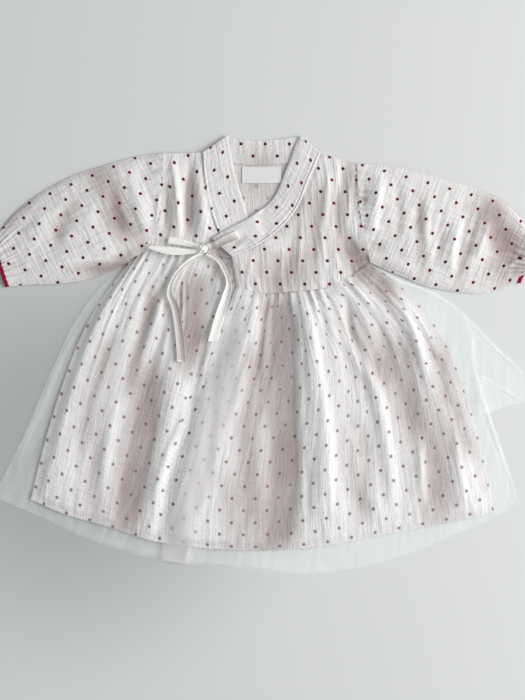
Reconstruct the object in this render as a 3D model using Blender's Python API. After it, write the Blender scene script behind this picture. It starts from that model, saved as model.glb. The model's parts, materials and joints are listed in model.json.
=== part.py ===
"""A baby's wrap dress in the style of a hanbok, laid flat on a table with its front up.

The bodice and skirt are double gauze and the overskirt is sheer net. Each cut piece is one closed
wall of cloth. The pieces are laid down in the order in which they lie on the table: each one rests
on the pile of those before it, and meets its neighbours at the seams.

Tables are in millimetres: x runs to the right of the dress's middle, y towards its neck, and z up
from the table. The objects are built in metres.
"""

import math
from collections import namedtuple

import bmesh
import bpy
import numpy as np
from mathutils import Vector
from mathutils.bvhtree import BVHTree

MM = 0.001
# A height above every piece, to look down from
SKY = 100.0
# Where a cell of cloth feels the pile, as parts of its width and length
CELL_SAMPLES = (-0.05, 0.2, 0.4, 0.6, 0.8, 1.05)

# Thickness of each cloth, and the room between two pieces
GAUZE = 1.2
NET = 1.0
RIBBON = 1.0
BAND = 2.0
LABEL = 1.0
GAP = 0.35
SEAM = 0.25

# How far the cloth stands off what it lies on, before its folds
SKIRT_FULLNESS = 2.4
BODICE_FULLNESS = 1.6
BAND_FULLNESS = 0.9
BAND_RIDGE = 0.7
BAND_CELLS = 7

# A sleeve lies flat. Its outline is a fold at a low height, between a lower and an upper wall
SLEEVE_HEIGHT = 7.2
SLEEVE_HOLLOW = 3.6
SLEEVE_FOLD_HEIGHT = 1.1
SLEEVE_LEAST_HEIGHT = 2.6
LOWER_WALL = 1.0
UPPER_WALL = 1.2
SIDE_WALL = 1.6
SLEEVE_LENGTH = 165.0
SLEEVE_CELLS = 18
SLEEVE_CELLS_BELOW = 5

RIBBON_WIDTH = 9.0
RIBBON_REACH = 4.0
# Thicker than this, a ribbon is twisted into a cord
RIBBON_TWISTED = 1.5
EDGING_WIDTH = 4.0
# The edging is a little lower than the wrist beside it
EDGING_SHARE = 0.9

# A fold runs from its head to its foot. Bend is how far its middle lies to the right of the
# straight line between them, going down, and a negative rise is a valley.
Fold = namedtuple("Fold", "head_x head_y foot_x foot_y bend width rise")

SKIRT_OVER_FOLDS = [
    Fold(20, 78, 14, -190, 3, 26, -3.4),
    Fold(44, 62, 68, -186, -2, 32, 3.4),
    Fold(68, 32, 130, -182, -16, 24, 2.8),
    Fold(-14, 66, -30, -60, 4, 22, 1.4),
    Fold(-6, -60, -2, -150, 0, 24, 1.5),
    Fold(-44, -20, -58, -180, 4, 18, 1.3),
    Fold(-80, -40, -105, -186, 4, 16, 1.6),
    Fold(82, 62, 96, -10, 2, 12, -2.0),
    Fold(76, -40, 101, -170, -4, 16, -2.4),
    Fold(112, 86, 154, -90, -8, 18, -2.6),
    Fold(122, 60, 190, -40, -6, 16, 1.6),
    Fold(160, 12, 196, -60, -4, 12, -1.8),
    Fold(156, -70, 158, -165, 2, 16, 1.9),
    Fold(168, -90, 172, -165, 0, 14, -2.0),
    Fold(196, -50, 216, -150, -2, 14, -1.5),
    Fold(182, -40, 206, -160, -2, 14, 1.2),
]

SKIRT_UNDER_FOLDS = [
    Fold(-146, 76, -226, -150, 12, 44, 2.6),
    Fold(-98, 92, -138, -172, 4, 20, -2.8),
    Fold(-100, 84, -104, 8, 0, 12, 2.0),
    Fold(-66, 92, -74, 6, 0, 34, -2.2),
    Fold(-122, 84, -176, -150, 8, 14, 1.2),
    Fold(-118, -30, -120, -120, 0, 22, -2.0),
    Fold(-88, -20, -112, -186, 4, 16, 2.2),
]

BODICE_OVER_FOLDS = [
    Fold(79, 192, 72, 108, 3, 9, -1.8),
    Fold(79, 122, 98, 92, 0, 9, -1.8),
    Fold(64, 186, 54, 84, 2, 11, 1.3),
    Fold(40, 142, 34, 76, 1, 10, 1.2),
    Fold(14, 120, 12, 74, 0, 9, 1.1),
    Fold(92, 188, 92, 118, 2, 9, 1.3),
    Fold(-20, 98, -16, 72, 0, 9, 1.0),
]

BODICE_UNDER_FOLDS = [
    Fold(-93, 200, -84, 116, -3, 10, 1.7),
    Fold(-103, 172, -108, 126, 0, 8, 1.4),
    Fold(-59, 166, -62, 112, 0, 18, 1.3),
    Fold(-76, 200, -75, 112, 2, 12, -1.6),
    Fold(-98, 178, -99, 116, 1, 8, -1.4),
]

SLEEVE_LEFT_FOLDS = [
    Fold(-112, 198, -134, 168, 0, 9, -1.6),
    Fold(-106, 184, -128, 152, 2, 8, 1.0),
    Fold(-124, 196, -160, 140, -4, 14, 1.1),
    Fold(-134, 106, -176, 92, 2, 10, -1.5),
    Fold(-150, 180, -196, 100, -6, 18, 1.0),
    Fold(-140, 122, -214, 92, 4, 10, 1.0),
    Fold(-196, 160, -236, 96, -6, 16, 0.9),
    Fold(-214, 150, -256, 118, 0, 9, -1.1),
]

SLEEVE_RIGHT_FOLDS = [
    Fold(118, 188, 104, 112, 4, 12, 1.5),
    Fold(99, 180, 104, 138, 0, 9, -1.6),
    Fold(140, 182, 148, 96, 4, 16, 1.0),
    Fold(176, 168, 186, 84, 2, 16, 0.9),
    Fold(228, 138, 210, 94, 0, 11, 1.4),
    Fold(160, 88, 122, 92, 0, 12, 1.1),
    Fold(243, 84, 262, 94, 0, 7, -1.0),
    Fold(206, 158, 200, 100, 0, 12, -1.1),
]

# Gathers along the waist and at the wrists
UNDER_GATHERS = 9
OVER_GATHERS = 13
WRIST_GATHERS = 5
GATHER_RISE = 1.5

# Seams and edges, each a smooth curve through a few points
WAIST_UNDER = [(-136, 93), (-116, 105), (-74, 102), (-29, 96), (-2, 93)]
WAIST_OVER = [(-27, 68), (-2, 62), (32, 64), (66, 69), (86, 79), (106, 93)]
WAIST_BACK = [(-136, 93), (-15, 84), (106, 93)]
ARMHOLE_LEFT = [(-101, 202), (-101, 165), (-106, 130), (-121, 107), (-136, 93)]
UNDERARM_LEFT = (-130, 98)
ARMHOLE_RIGHT = [(93, 192), (94, 161), (98, 130), (103, 107), (106, 93)]
NECK_BACK = [(-61, 203), (-46, 196), (-24, 192), (10, 192), (36, 195), (56, 202)]
COLLAR_TOP = [(-37, 219.8), (-18, 216), (10, 216), (36, 219.8)]
SEAM_UNDER = [(-61, 203), (-59, 178), (-52, 143), (-45, 123), (-28, 96)]
FREE_UNDER = [(-37, 219.8), (-29, 181), (-17, 140), (-2, 95)]
SEAM_OVER = [(56, 202), (44, 175), (33, 148), (16, 127), (-9, 109), (-32, 99)]
FREE_OVER = [(36, 219.8), (23, 187), (8, 155), (-12, 139), (-31, 129), (-52, 117)]
HEM = [(-234, -145), (-204, -158), (-164, -170), (-104, -188), (-24, -196), (56, -192),
       (126, -179), (196, -166), (231, -158)]
SIDE_LEFT = [(-136, 93), (-173, 40), (-204, -35), (-222, -95), (-234, -145)]
SIDE_RIGHT = [(106, 93), (141, 65), (171, 30), (204, -45), (220, -105), (231, -158)]
WRAP_EDGE = [(-27, 68), (-52, 10), (-79, -45), (-92, -85), (-104, -125), (-110, -187)]
UNDER_LAP = [(-2, 93), (-30, -60), (-50, -193)]
NET_SIDE_LEFT = [(-136, 91), (-154, 78), (-184, 43), (-214, -17), (-242, -82), (-272, -142)]
NET_HEM_LEFT = [(-272, -142), (-234, -159), (-164, -190), (-102, -206), (-60, -209)]
NET_LAP = [(-2, 93), (-36, -60), (-60, -209)]
NET_WRAP = [(-27, 68), (-48, 15), (-61, -45), (-74, -95), (-86, -140), (-101, -185), (-104, -206)]
NET_HEM_RIGHT = [(-104, -206), (-76, -210), (-24, -211), (36, -220), (86, -216), (136, -202), (196, -179),
                 (258, -150)]
NET_SIDE_RIGHT = [(106, 91), (136, 76), (176, 60), (205, 38), (214, -15), (236, -85), (258, -150)]
NET_FLAP = [(106, 91), (136, 76), (176, 60), (205, 38), (236, 6), (261, -18), (274, -38),
            (262, -47), (216, -20), (224, -70), (244, -120), (250, -150)]
NET_HEM_BACK = [(250, -150), (196, -177), (116, -208), (36, -219), (-60, -207), (-150, -190),
                (-234, -156), (-270, -140)]
SHOULDER_LEFT = [(-101, 202), (-61, 203)]
SHOULDER_RIGHT = [(56, 202), (93, 192)]

# Outlines of the sleeves: the upper edge, the lower edge and the wrist
SLEEVE_LEFT_UPPER = [(-101, 202), (-124, 200), (-154, 192), (-189, 181), (-222, 164), (-249, 144),
                     (-271, 118)]
SLEEVE_LEFT_LOWER = [(-136, 93), (-152, 85), (-179, 76), (-204, 72), (-230, 71), (-256, 69)]
SLEEVE_RIGHT_UPPER = [(93, 192), (121, 191), (151, 185), (183, 176), (216, 167), (244, 152),
                      (271, 121)]
SLEEVE_RIGHT_LOWER = [(106, 93), (136, 80), (164, 69), (191, 64), (218, 62), (241, 67), (254, 73)]

# A ribbon runs through its stations, each with its width and thickness
Station = namedtuple("Station", "x y width thick")

TIE_TAIL_LEFT = [
    Station(-62, 101, 3, 1.2), Station(-72, 95, 3, 2.4), Station(-83, 86, 3, 2.4),
    Station(-91, 74, 4, 2.0), Station(-94, 62, 7, 1.2), Station(-88, 48, RIBBON_WIDTH, RIBBON),
    Station(-85, 25, RIBBON_WIDTH, RIBBON), Station(-82, -7, RIBBON_WIDTH, RIBBON),
]
TIE_TAIL_RIGHT = [
    Station(-57, 102, 3, 1.2), Station(-46, 95, 3, 2.4), Station(-39, 84, 3, 2.4),
    Station(-35, 72, 4, 2.0), Station(-38, 58, 8, 1.2), Station(-44, 40, RIBBON_WIDTH, RIBBON),
    Station(-51, 14, RIBBON_WIDTH, RIBBON),
]
TIE_STRAP = [
    Station(-57, 107, 5, 1.2), Station(-46, 111, 7, 1.2), Station(-38, 115, 8, RIBBON),
    Station(-26, 120, 9, RIBBON),
]
# A bow's loop goes out along its lower layer and comes back over it
LOOP_LONG = {"root": (-67.6, 102.2), "tip": (-114, 106.4), "sag": 1.6}
LOOP_SHORT = {"root": (-67.2, 109.2), "tip": (-95, 115.6), "sag": -0.6}
LOOP_OPENING = 0.8
LOOP_REACH = 1.2
LOOP_STEPS = 9
# The loop turns over at this share of its length, in a few steps
LOOP_TURN_AT = 0.96
LOOP_TURN_STEPS = 6
KNOT = {"place": (-61, 105), "length": 12.0, "width": 10.0, "rise": 3.4, "turn": 10.0}
KNOT_REACH = 2.0
KNOT_RINGS = 4
KNOT_SPOKES = 16
# How much of its rise the knot loses at its rim
KNOT_FALL = 0.8
NECK_LABEL = {"place": (-2.5, 181), "length": 39.0, "width": 16.0, "corner": 1.0}


def ease(value):
    """A soft step from 0 to 1."""
    value = min(1.0, max(0.0, value))
    return value * value * (3.0 - 2.0 * value)


def smooth_run(points, samples=16):
    """Close points along a smooth curve through a few."""
    knots = np.array(points, float)
    steps = np.linalg.norm(np.diff(knots, axis=0), axis=1)
    slopes = np.diff(knots, axis=0) / steps[:, None]
    tangents = np.vstack([slopes[:1], slopes])
    tangents[-1] = slopes[-1]
    for i in range(1, len(knots) - 1):
        before, after = steps[i - 1], steps[i]
        tangents[i] = (slopes[i - 1] * after + slopes[i] * before) / (before + after)
    dense = [knots[0]]
    for i, step in enumerate(steps):
        for t in np.linspace(0, 1, samples + 1)[1:]:
            start = (1 + 2 * t) * (1 - t) ** 2 * knots[i] + t * (1 - t) ** 2 * step * tangents[i]
            end = t * t * (3 - 2 * t) * knots[i + 1] - t * t * (1 - t) * step * tangents[i + 1]
            dense.append(start + end)
    return dense


def curve(points):
    """An edge as a function of 0 to 1 along its length. Runs given in a tuple meet in corners."""
    runs = points if isinstance(points, tuple) else (points,)
    dense = np.array([spot for run in runs for spot in smooth_run(run)])
    lengths = np.concatenate([[0], np.cumsum(np.linalg.norm(np.diff(dense, axis=0), axis=1))])
    lengths /= lengths[-1]
    return lambda u: np.array([np.interp(u, lengths, dense[:, 0]),
                               np.interp(u, lengths, dense[:, 1])])


def panel(top, bottom, left, right):
    """A cut piece between four edges, as a function of across and down, each from 0 to 1."""
    top, bottom, left, right = curve(top), curve(bottom), curve(left), curve(right)

    def place(across, down):
        ruled_down = (1 - down) * top(across) + down * bottom(across)
        ruled_across = (1 - across) * left(down) + across * right(down)
        corners = ((1 - across) * ((1 - down) * top(0) + down * bottom(0))
                   + across * ((1 - down) * top(1) + down * bottom(1)))
        return ruled_down + ruled_across - corners

    return place


def creased(folds, x, y):
    """Height that a table of folds adds at a point."""
    height = 0.0
    for fold in folds:
        run = np.array([fold.foot_x - fold.head_x, fold.foot_y - fold.head_y], float)
        length = np.hypot(*run)
        run /= length
        offset = np.array([x - fold.head_x, y - fold.head_y])
        along = float(offset @ run) / length
        if not -0.15 < along < 1.15:
            continue
        middle = min(1.0, max(0.0, along))
        aside = float(offset[0] * -run[1] + offset[1] * run[0]) - fold.bend * 4 * middle * (1 - middle)
        profile = max(0.0, 1 - (aside / (0.75 * fold.width)) ** 2) ** 2
        ends = ease((along + 0.15) / 0.3) * ease((1.15 - along) / 0.3)
        height += fold.rise * profile * ends
    return height


class Pile:
    """The pieces that are already laid down, by name."""

    def __init__(self):
        self.trees = {}

    def add(self, name, points, faces):
        self.trees[name] = BVHTree.FromPolygons([Vector(p) for p in points], faces)

    def top(self, x, y, beside=()):
        """Height of the highest piece at a point, but for those beside it. The bare table is 0."""
        height = 0.0
        for name, tree in self.trees.items():
            if name not in beside:
                hit = tree.ray_cast(Vector((x, y, SKY)), Vector((0, 0, -1)))[0]
                if hit is not None:
                    height = max(height, hit.z)
        return height

    def rest(self, x, y, reach, beside=()):
        """Height at which cloth comes to rest on the highest piece within reach of a point."""
        around = [(0.0, 0.0)]
        for part, count in ((0.35, 6), (0.7, 10), (1.0, 16)):
            for k in range(count):
                angle = math.tau * (k + part) / count
                around.append((part * reach * math.cos(angle), part * reach * math.sin(angle)))
        height = max(self.top(x + dx, y + dy, beside) for dx, dy in around)
        return height + GAP if height > 0 else 0.0


def material(name, colour, roughness, alpha=1.0):
    made = bpy.data.materials.new(name)
    made.use_nodes = True
    shader = made.node_tree.nodes["Principled BSDF"]
    shader.inputs["Base Color"].default_value = (*colour, 1.0)
    shader.inputs["Roughness"].default_value = roughness
    shader.inputs["Metallic"].default_value = 0.0
    shader.inputs["Alpha"].default_value = alpha
    made.diffuse_color = (*colour, alpha)
    return made


def add_piece(pile, name, points, faces, finish):
    """Make one closed solid from points in millimetres, and lay it on the pile."""
    mesh = bpy.data.meshes.new(name)
    mesh.from_pydata([tuple(MM * float(c) for c in p) for p in points], [], faces)
    body = bmesh.new()
    body.from_mesh(mesh)
    bmesh.ops.recalc_face_normals(body, faces=body.faces)
    bmesh.ops.triangulate(body, faces=body.faces)
    body.to_mesh(mesh)
    body.free()
    mesh.materials.append(finish)
    mesh.shade_smooth()
    mesh.set_sharp_from_angle(angle=math.radians(50))
    piece = bpy.data.objects.new(name, mesh)
    bpy.context.scene.collection.objects.link(piece)
    pile.add(name, points, faces)
    return piece


def between_rows(upper, lower):
    """Faces between two rows of points, where the upper row may have twice the cells."""
    if len(upper) == len(lower):
        return [(upper[i], upper[i + 1], lower[i + 1], lower[i]) for i in range(len(lower) - 1)]
    faces = []
    for i in range(len(lower) - 1):
        first, middle, last = upper[2 * i: 2 * i + 3]
        faces += [(first, middle, lower[i]), (middle, lower[i + 1], lower[i]),
                  (middle, last, lower[i + 1])]
    return faces


def cell_rests(pile, place, rows, beside):
    """For each strip between two rows, the height at which each of its cells comes to rest."""
    strips = []
    for (down, _), (next_down, cells) in zip(rows, rows[1:]):
        strip = []
        for c in range(cells):
            heights = [pile.top(*place((c + a) / cells, down + (next_down - down) * b), beside)
                       for a in CELL_SAMPLES for b in CELL_SAMPLES]
            strip.append(max(heights) + GAP if max(heights) > 0 else 0.0)
        strips.append(strip)
    return strips


def wall(pile, name, place, rows, stand, thickness, beside, finish):
    """A panel of cloth. Each row is how far down it lies and its number of cells.

    stand(x, y, across, down) is how far its underside stands off the pile, and beside names the
    pieces that it is sewn to edge to edge.
    """
    strips = cell_rests(pile, place, rows, beside)
    points = []
    index_rows = []
    for r, (down, cells) in enumerate(rows):
        row = []
        for c in range(cells + 1):
            across = c / cells
            spot = place(across, down)
            inward = place(min(1 - 1 / cells, max(1 / cells, across)),
                           min(rows[-2][0], max(rows[1][0], down))) - spot
            distance = np.hypot(*inward)
            if distance > 0:
                spot = spot + inward * (SEAM / distance)
            touching = []
            for strip in strips[max(0, r - 1): r + 1]:
                first = max(0, math.ceil(across * len(strip) - 1e-6) - 1)
                touching += strip[first: math.floor(across * len(strip) + 1e-6) + 1]
            row.append(len(points))
            points.append((spot[0], spot[1], max(touching) + stand(*spot, across, down)))
        index_rows.append(row)
    count = len(points)
    points += [(x, y, z + thickness) for x, y, z in points]
    lower = []
    for above, below in zip(index_rows, index_rows[1:]):
        lower += between_rows(above, below)
    upper = [tuple(v + count for v in reversed(face)) for face in lower]
    rim = index_rows[0] + [row[-1] for row in index_rows[1:]]
    rim += index_rows[-1][-2::-1] + [row[0] for row in index_rows[-2:0:-1]]
    sides = [(rim[i], rim[i - 1], rim[i - 1] + count, rim[i] + count) for i in range(len(rim))]
    return add_piece(pile, name, points, lower + upper + sides, finish)


def plate(pile, name, outline, base, thickness, finish):
    """A flat piece of cloth with a given outline, run round anticlockwise or clockwise."""
    ring = []
    count = len(outline)
    for i, spot in enumerate(outline):
        run = np.array(outline[(i + 1) % count]) - np.array(outline[i - 1])
        normal = np.array([-run[1], run[0]]) / np.hypot(*run)
        ring.append(np.array(spot) + SEAM * turn_sign(outline) * normal)
    points = [(x, y, base) for x, y in ring] + [(x, y, base + thickness) for x, y in ring]
    faces = [tuple(range(count)), tuple(range(2 * count - 1, count - 1, -1))]
    faces += [(i, i - 1 if i else count - 1, (i - 1 if i else count - 1) + count, i + count)
              for i in range(count)]
    return add_piece(pile, name, points, faces, finish)


def turn_sign(outline):
    """1 where an outline runs anticlockwise, -1 where it runs clockwise."""
    x, y = np.array(outline).T
    return 1.0 if np.sum(x * np.roll(y, -1) - y * np.roll(x, -1)) > 0 else -1.0


def outline_of(*edges):
    """One closed outline from edges that follow each other, each with its number of points."""
    outline = []
    for points, cells in edges:
        edge = curve(points)
        outline += [tuple(edge(i / cells)) for i in range(cells)]
    return outline


def spaced(start, stop, count):
    return [start + (stop - start) * i / count for i in range(count + 1)]


def lay_back(pile, gauze, net):
    """The back of the dress: net and gauze skirts, and the bodice."""
    back_rise = NET + GAP
    plate(pile, "net_back", outline_of(
        (WAIST_BACK, 8), (NET_FLAP, 24), (NET_HEM_BACK, 18), (NET_SIDE_LEFT[::-1], 14)),
        0.0, NET, net)
    plate(pile, "skirt_back", outline_of(
        (WAIST_BACK, 8), (SIDE_RIGHT, 14), (HEM[::-1], 20), (SIDE_LEFT[::-1], 14)),
        back_rise, GAUZE, gauze)
    plate(pile, "bodice_back", outline_of(
        (SHOULDER_LEFT, 2), (NECK_BACK, 8), (SHOULDER_RIGHT, 2), (ARMHOLE_RIGHT, 8),
        (WAIST_BACK[:0:-1] + [(-127, 92.5)], 8), ([UNDERARM_LEFT] + ARMHOLE_LEFT[-2::-1], 10)),
        0.0, GAUZE, gauze)


def lay_collar_back(pile, gauze):
    place = panel(COLLAR_TOP, NECK_BACK, [COLLAR_TOP[0], NECK_BACK[0]],
                  [COLLAR_TOP[-1], NECK_BACK[-1]])
    rows = [(down, 12) for down in (0, 0.15, 0.5, 0.85, 1)]
    wall(pile, "collar_back", place, rows, flat, BAND, ["bodice_back"], gauze)


def flat(x, y, across, down):
    return 0.0


def always_shown(x, y):
    return 1.0


def shown_under(x, y):
    """1 where the under front shows, and 0 where the over front covers it."""
    start, end = np.array(FREE_OVER[-1], float), np.array(FREE_OVER[-3], float)
    run = (end - start) / np.hypot(*(end - start))
    above = run[0] * (y - start[1]) - run[1] * (x - start[0])
    return ease((above + 4) / 12)


def lay_collar(pile, name, free, seam, top, bottom, stations, shown, beside, gauze):
    """A collar band, plump in its middle, with a stitched ridge beside its seam."""
    def stand(x, y, across, down):
        plump = BAND_FULLNESS * math.sin(math.pi * across) * ease(down / 0.1)
        ridge = BAND_RIDGE if 0.8 < across < 0.97 else 0.0
        return (plump + ridge) * shown(x, y)

    rows = [(down, BAND_CELLS) for down in spaced(0, 1, stations)]
    wall(pile, name, panel(top, bottom, free, seam), rows, stand, BAND, beside, gauze)


def gathers(across, down, count, rise, fade):
    """Small gathers that run from a gathered edge and die away, a little uneven."""
    uneven = across + 0.35 / count * math.sin(math.tau * across * 2.3)
    wave = 0.5 - 0.5 * math.cos(math.tau * count * uneven)
    strength = 0.75 + 0.25 * math.sin(math.tau * across * 1.7 + 1)
    return rise * strength * wave * max(0.0, 1 - down / fade) ** 1.5


def lay_skirt(pile, name, place, folds, count, lapped_from, beside, gauze):
    """A gathered skirt panel, which lies flat from where another laps over it.

    There are four cells for each gather near the waist, and half as many below.
    """
    def stand(x, y, across, down):
        shown = ease((1 - across) / 0.07) * (1 - ease((across - lapped_from) / 0.12))
        sides = ease(across / 0.07) * shown
        hem = 1 - 0.55 * ease((down - 0.9) / 0.1)
        waist = 0.35 + 0.65 * ease(down / 0.12)
        puff = (SKIRT_FULLNESS + creased(folds, x, y)) * sides * hem * waist
        return max(0.0, puff) + gathers(across, down, count, GATHER_RISE, 0.26) * shown

    rows = [(down, 4 * count) for down in (0, 0.04, 0.1, 0.17)]
    rows += [(down, 2 * count) for down in [0.24] + spaced(0.32, 0.96, 8) + [1]]
    wall(pile, name, place, rows, stand, GAUZE, beside, gauze)


def lay_net(pile, name, place, columns, rows, beside, net):
    """Net drapes over the gauze and bridges its narrow valleys."""
    wall(pile, name, place, [(down, columns) for down in rows], flat, NET, beside, net)


def lay_bodice(pile, name, place, folds, columns, rows, shown, beside, gauze):
    """A front of the bodice, which falls to what lies under it at its edges."""
    def stand(x, y, across, down):
        sides = ease(across / 0.1) * ease((1 - across) / 0.1)
        ends = (0.5 + 0.5 * ease(down / 0.1)) * (0.5 + 0.5 * ease((1 - down) / 0.1))
        return max(0.0, (BODICE_FULLNESS + creased(folds, x, y)) * sides * ends * shown(x, y))

    wall(pile, name, place, [(down, columns) for down in spaced(0, 1, rows)], stand, GAUZE, beside,
         gauze)


def tube(pile, name, place, stations, height, finish):
    """A sleeve that lies flat: a closed loop of cloth at each station, with a hollow inside.

    place(across, along) and height(x, y, across, along) describe its upper side. The points of a
    loop are closer together near its two side folds.
    """
    above = [0.5 - 0.5 * math.cos(math.pi * c / SLEEVE_CELLS) for c in range(SLEEVE_CELLS + 1)]
    below = spaced(0.97, 0.03, SLEEVE_CELLS_BELOW - 1)
    points = []
    rings = []
    for along in stations:
        spread = np.hypot(*(place(1, along) - place(0, along)))
        inset = SIDE_WALL / spread
        outer = []
        inner = []
        for across in above:
            x, y = place(across, along)
            roof = height(x, y, across, along)
            hollow = max(GAP, min(SLEEVE_HOLLOW, roof - LOWER_WALL - UPPER_WALL))
            if across in (0.0, 1.0):
                roof = SLEEVE_FOLD_HEIGHT
                hollow = GAP / 2
            outer.append((x, y, roof))
            x, y = place(inset + (1 - 2 * inset) * across, along)
            inner.append((x, y, LOWER_WALL + hollow))
        for across in below:
            x, y = place(across, along)
            outer.append((x, y, 0.0))
            x, y = place(inset + (1 - 2 * inset) * across, along)
            inner.append((x, y, LOWER_WALL))
        rings.append((len(points), len(points) + len(outer)))
        points += outer + inner
    count = len(above) + len(below)
    faces = []
    for (outer_a, inner_a), (outer_b, inner_b) in zip(rings, rings[1:]):
        for i in range(count):
            j = (i + 1) % count
            faces.append((outer_a + i, outer_a + j, outer_b + j, outer_b + i))
            faces.append((inner_a + j, inner_a + i, inner_b + i, inner_b + j))
    for outer, inner in (rings[0], rings[-1]):
        for i in range(count):
            j = (i + 1) % count
            ring = (outer + j, outer + i, inner + i, inner + j)
            faces.append(ring if (outer, inner) == rings[0] else ring[::-1])
    return add_piece(pile, name, points, faces, finish)


def sleeve_height(folds):
    """Upper side of a puffed sleeve, gathered at its head and its wrist."""
    def height(x, y, across, along):
        plump = (1 - (2 * across - 1) ** 2) ** 0.4
        puff = 0.72 + 0.28 * math.sin(math.pi * min(1.0, along * 1.05))
        wrist = gathers(across, 1 - along, WRIST_GATHERS, 1.0, 0.22)
        crown = max(SLEEVE_LEAST_HEIGHT, SLEEVE_HEIGHT * puff + creased(folds, x, y) - wrist)
        return SLEEVE_FOLD_HEIGHT + (crown - SLEEVE_FOLD_HEIGHT) * plump
    return height


def lay_sleeve(pile, side, upper, lower, armhole, folds, gauze, red):
    """A sleeve from its armhole to its wrist, and the bound edge beyond the wrist."""
    wrist = [lower[-1], upper[-1]]
    sleeve = panel(armhole[::-1], wrist, lower, upper)
    height = sleeve_height(folds)
    stations = [SEAM / SLEEVE_LENGTH] + spaced(0.04, 0.8, 9) + [0.86, 0.93, 1.0]
    tube(pile, "sleeve_" + side, sleeve, stations, height, gauze)

    slope = np.array(upper[-1]) - np.array(lower[-1])
    outward = np.array([slope[1], -slope[0]]) / np.hypot(*slope)
    outward *= math.copysign(1.0, outward[0] * upper[-1][0])

    def edging(across, along):
        return sleeve(across, 1.0) + outward * (GAP + along * EDGING_WIDTH)

    def edging_height(x, y, across, along):
        return EDGING_SHARE * height(x, y, across, 1.0)

    tube(pile, "edging_" + side, edging, [0.0, 1.0], edging_height, red)


def ribbon(pile, name, stations, finish):
    """A strap through its stations. Where it is twisted it is narrow and thick, and lies level."""
    path = curve([(s.x, s.y) for s in stations])
    along = [0.0]
    for a, b in zip(stations, stations[1:]):
        along.append(along[-1] + math.hypot(b.x - a.x, b.y - a.y))
    along = [a / along[-1] for a in along]
    steps = 2 * len(stations)
    near = 0.25 / steps
    sections = []
    for u in spaced(0, 1, steps):
        spot = path(u)
        ahead, behind = path(min(1, u + near)), path(max(0, u - near))
        heading = (ahead - behind) / np.hypot(*(ahead - behind))
        side = np.array([-heading[1], heading[0]])
        width = float(np.interp(u, along, [s.width for s in stations]))
        thick = float(np.interp(u, along, [s.thick for s in stations]))
        row = []
        for part in (-0.5, 0.0, 0.5):
            x, y = spot + side * width * part
            row.append((x, y, pile.rest(x, y, RIBBON_REACH)))
        twisted = thick > RIBBON_TWISTED
        level = max(z for x, y, z in row)
        lower = [(x, y, level if twisted else z) for x, y, z in row]
        upper = [(x, y, z + thick) for x, y, z in reversed(lower)]
        sections.append(lower + upper)
    return swept(pile, name, sections, finish)


def swept(pile, name, sections, finish):
    """A closed solid through cross-sections that have the same number of points."""
    count = len(sections[0])
    points = [p for section in sections for p in section]
    faces = []
    for s in range(len(sections) - 1):
        for i in range(count):
            j = (i + 1) % count
            faces.append((s * count + i, s * count + j, (s + 1) * count + j, (s + 1) * count + i))
    faces.append(tuple(reversed(range(count))))
    faces.append(tuple(range((len(sections) - 1) * count, len(sections) * count)))
    return add_piece(pile, name, points, faces, finish)


def bow_loop(pile, name, loop, finish):
    """A loop of ribbon: out along the lower layer, round the tip and back along the upper one."""
    root, tip = np.array(loop["root"], float), np.array(loop["tip"], float)
    length = np.hypot(*(tip - root))
    heading = (tip - root) / length
    side = np.array([-heading[1], heading[0]])

    def spot(u):
        return root + heading * length * u + side * loop["sag"] * math.sin(math.pi * u)

    def width(u):
        return RIBBON_WIDTH * (0.45 + 0.55 * ease(u / 0.4))

    base = max(pile.rest(*(spot(u) + side * width(u) * part), LOOP_REACH)
               for u in spaced(0, 1, 3 * LOOP_STEPS) for part in (-0.45, -0.2, 0, 0.2, 0.45))
    lower_middle = base + RIBBON / 2
    upper_middle = lower_middle + RIBBON + LOOP_OPENING
    turn_radius = (upper_middle - lower_middle) / 2
    path = [(u, lower_middle, 0.0, -1.0) for u in spaced(0.0, LOOP_TURN_AT, LOOP_STEPS)]
    for k in range(1, LOOP_TURN_STEPS):
        angle = math.pi * k / LOOP_TURN_STEPS
        bulge = turn_radius * math.sin(angle) / length
        path.append((LOOP_TURN_AT + bulge, lower_middle + turn_radius * (1 - math.cos(angle)),
                     -math.sin(angle), -math.cos(angle)))
    path += [(u, upper_middle, 0.0, 1.0) for u in spaced(LOOP_TURN_AT, 0.0, LOOP_STEPS)]
    sections = []
    for u, z, out, up in path:
        centre = spot(u)
        half = 0.5 * width(min(1.0, u))
        section = []
        for across, through in ((-1, -1), (0, -1), (1, -1), (1, 1), (0, 1), (-1, 1)):
            edge = centre + side * half * across
            shift = heading * out * through * RIBBON / 2
            section.append((edge[0] + shift[0], edge[1] + shift[1], z - up * through * RIBBON / 2))
        sections.append(section)
    return swept(pile, name, sections, finish)


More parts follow.
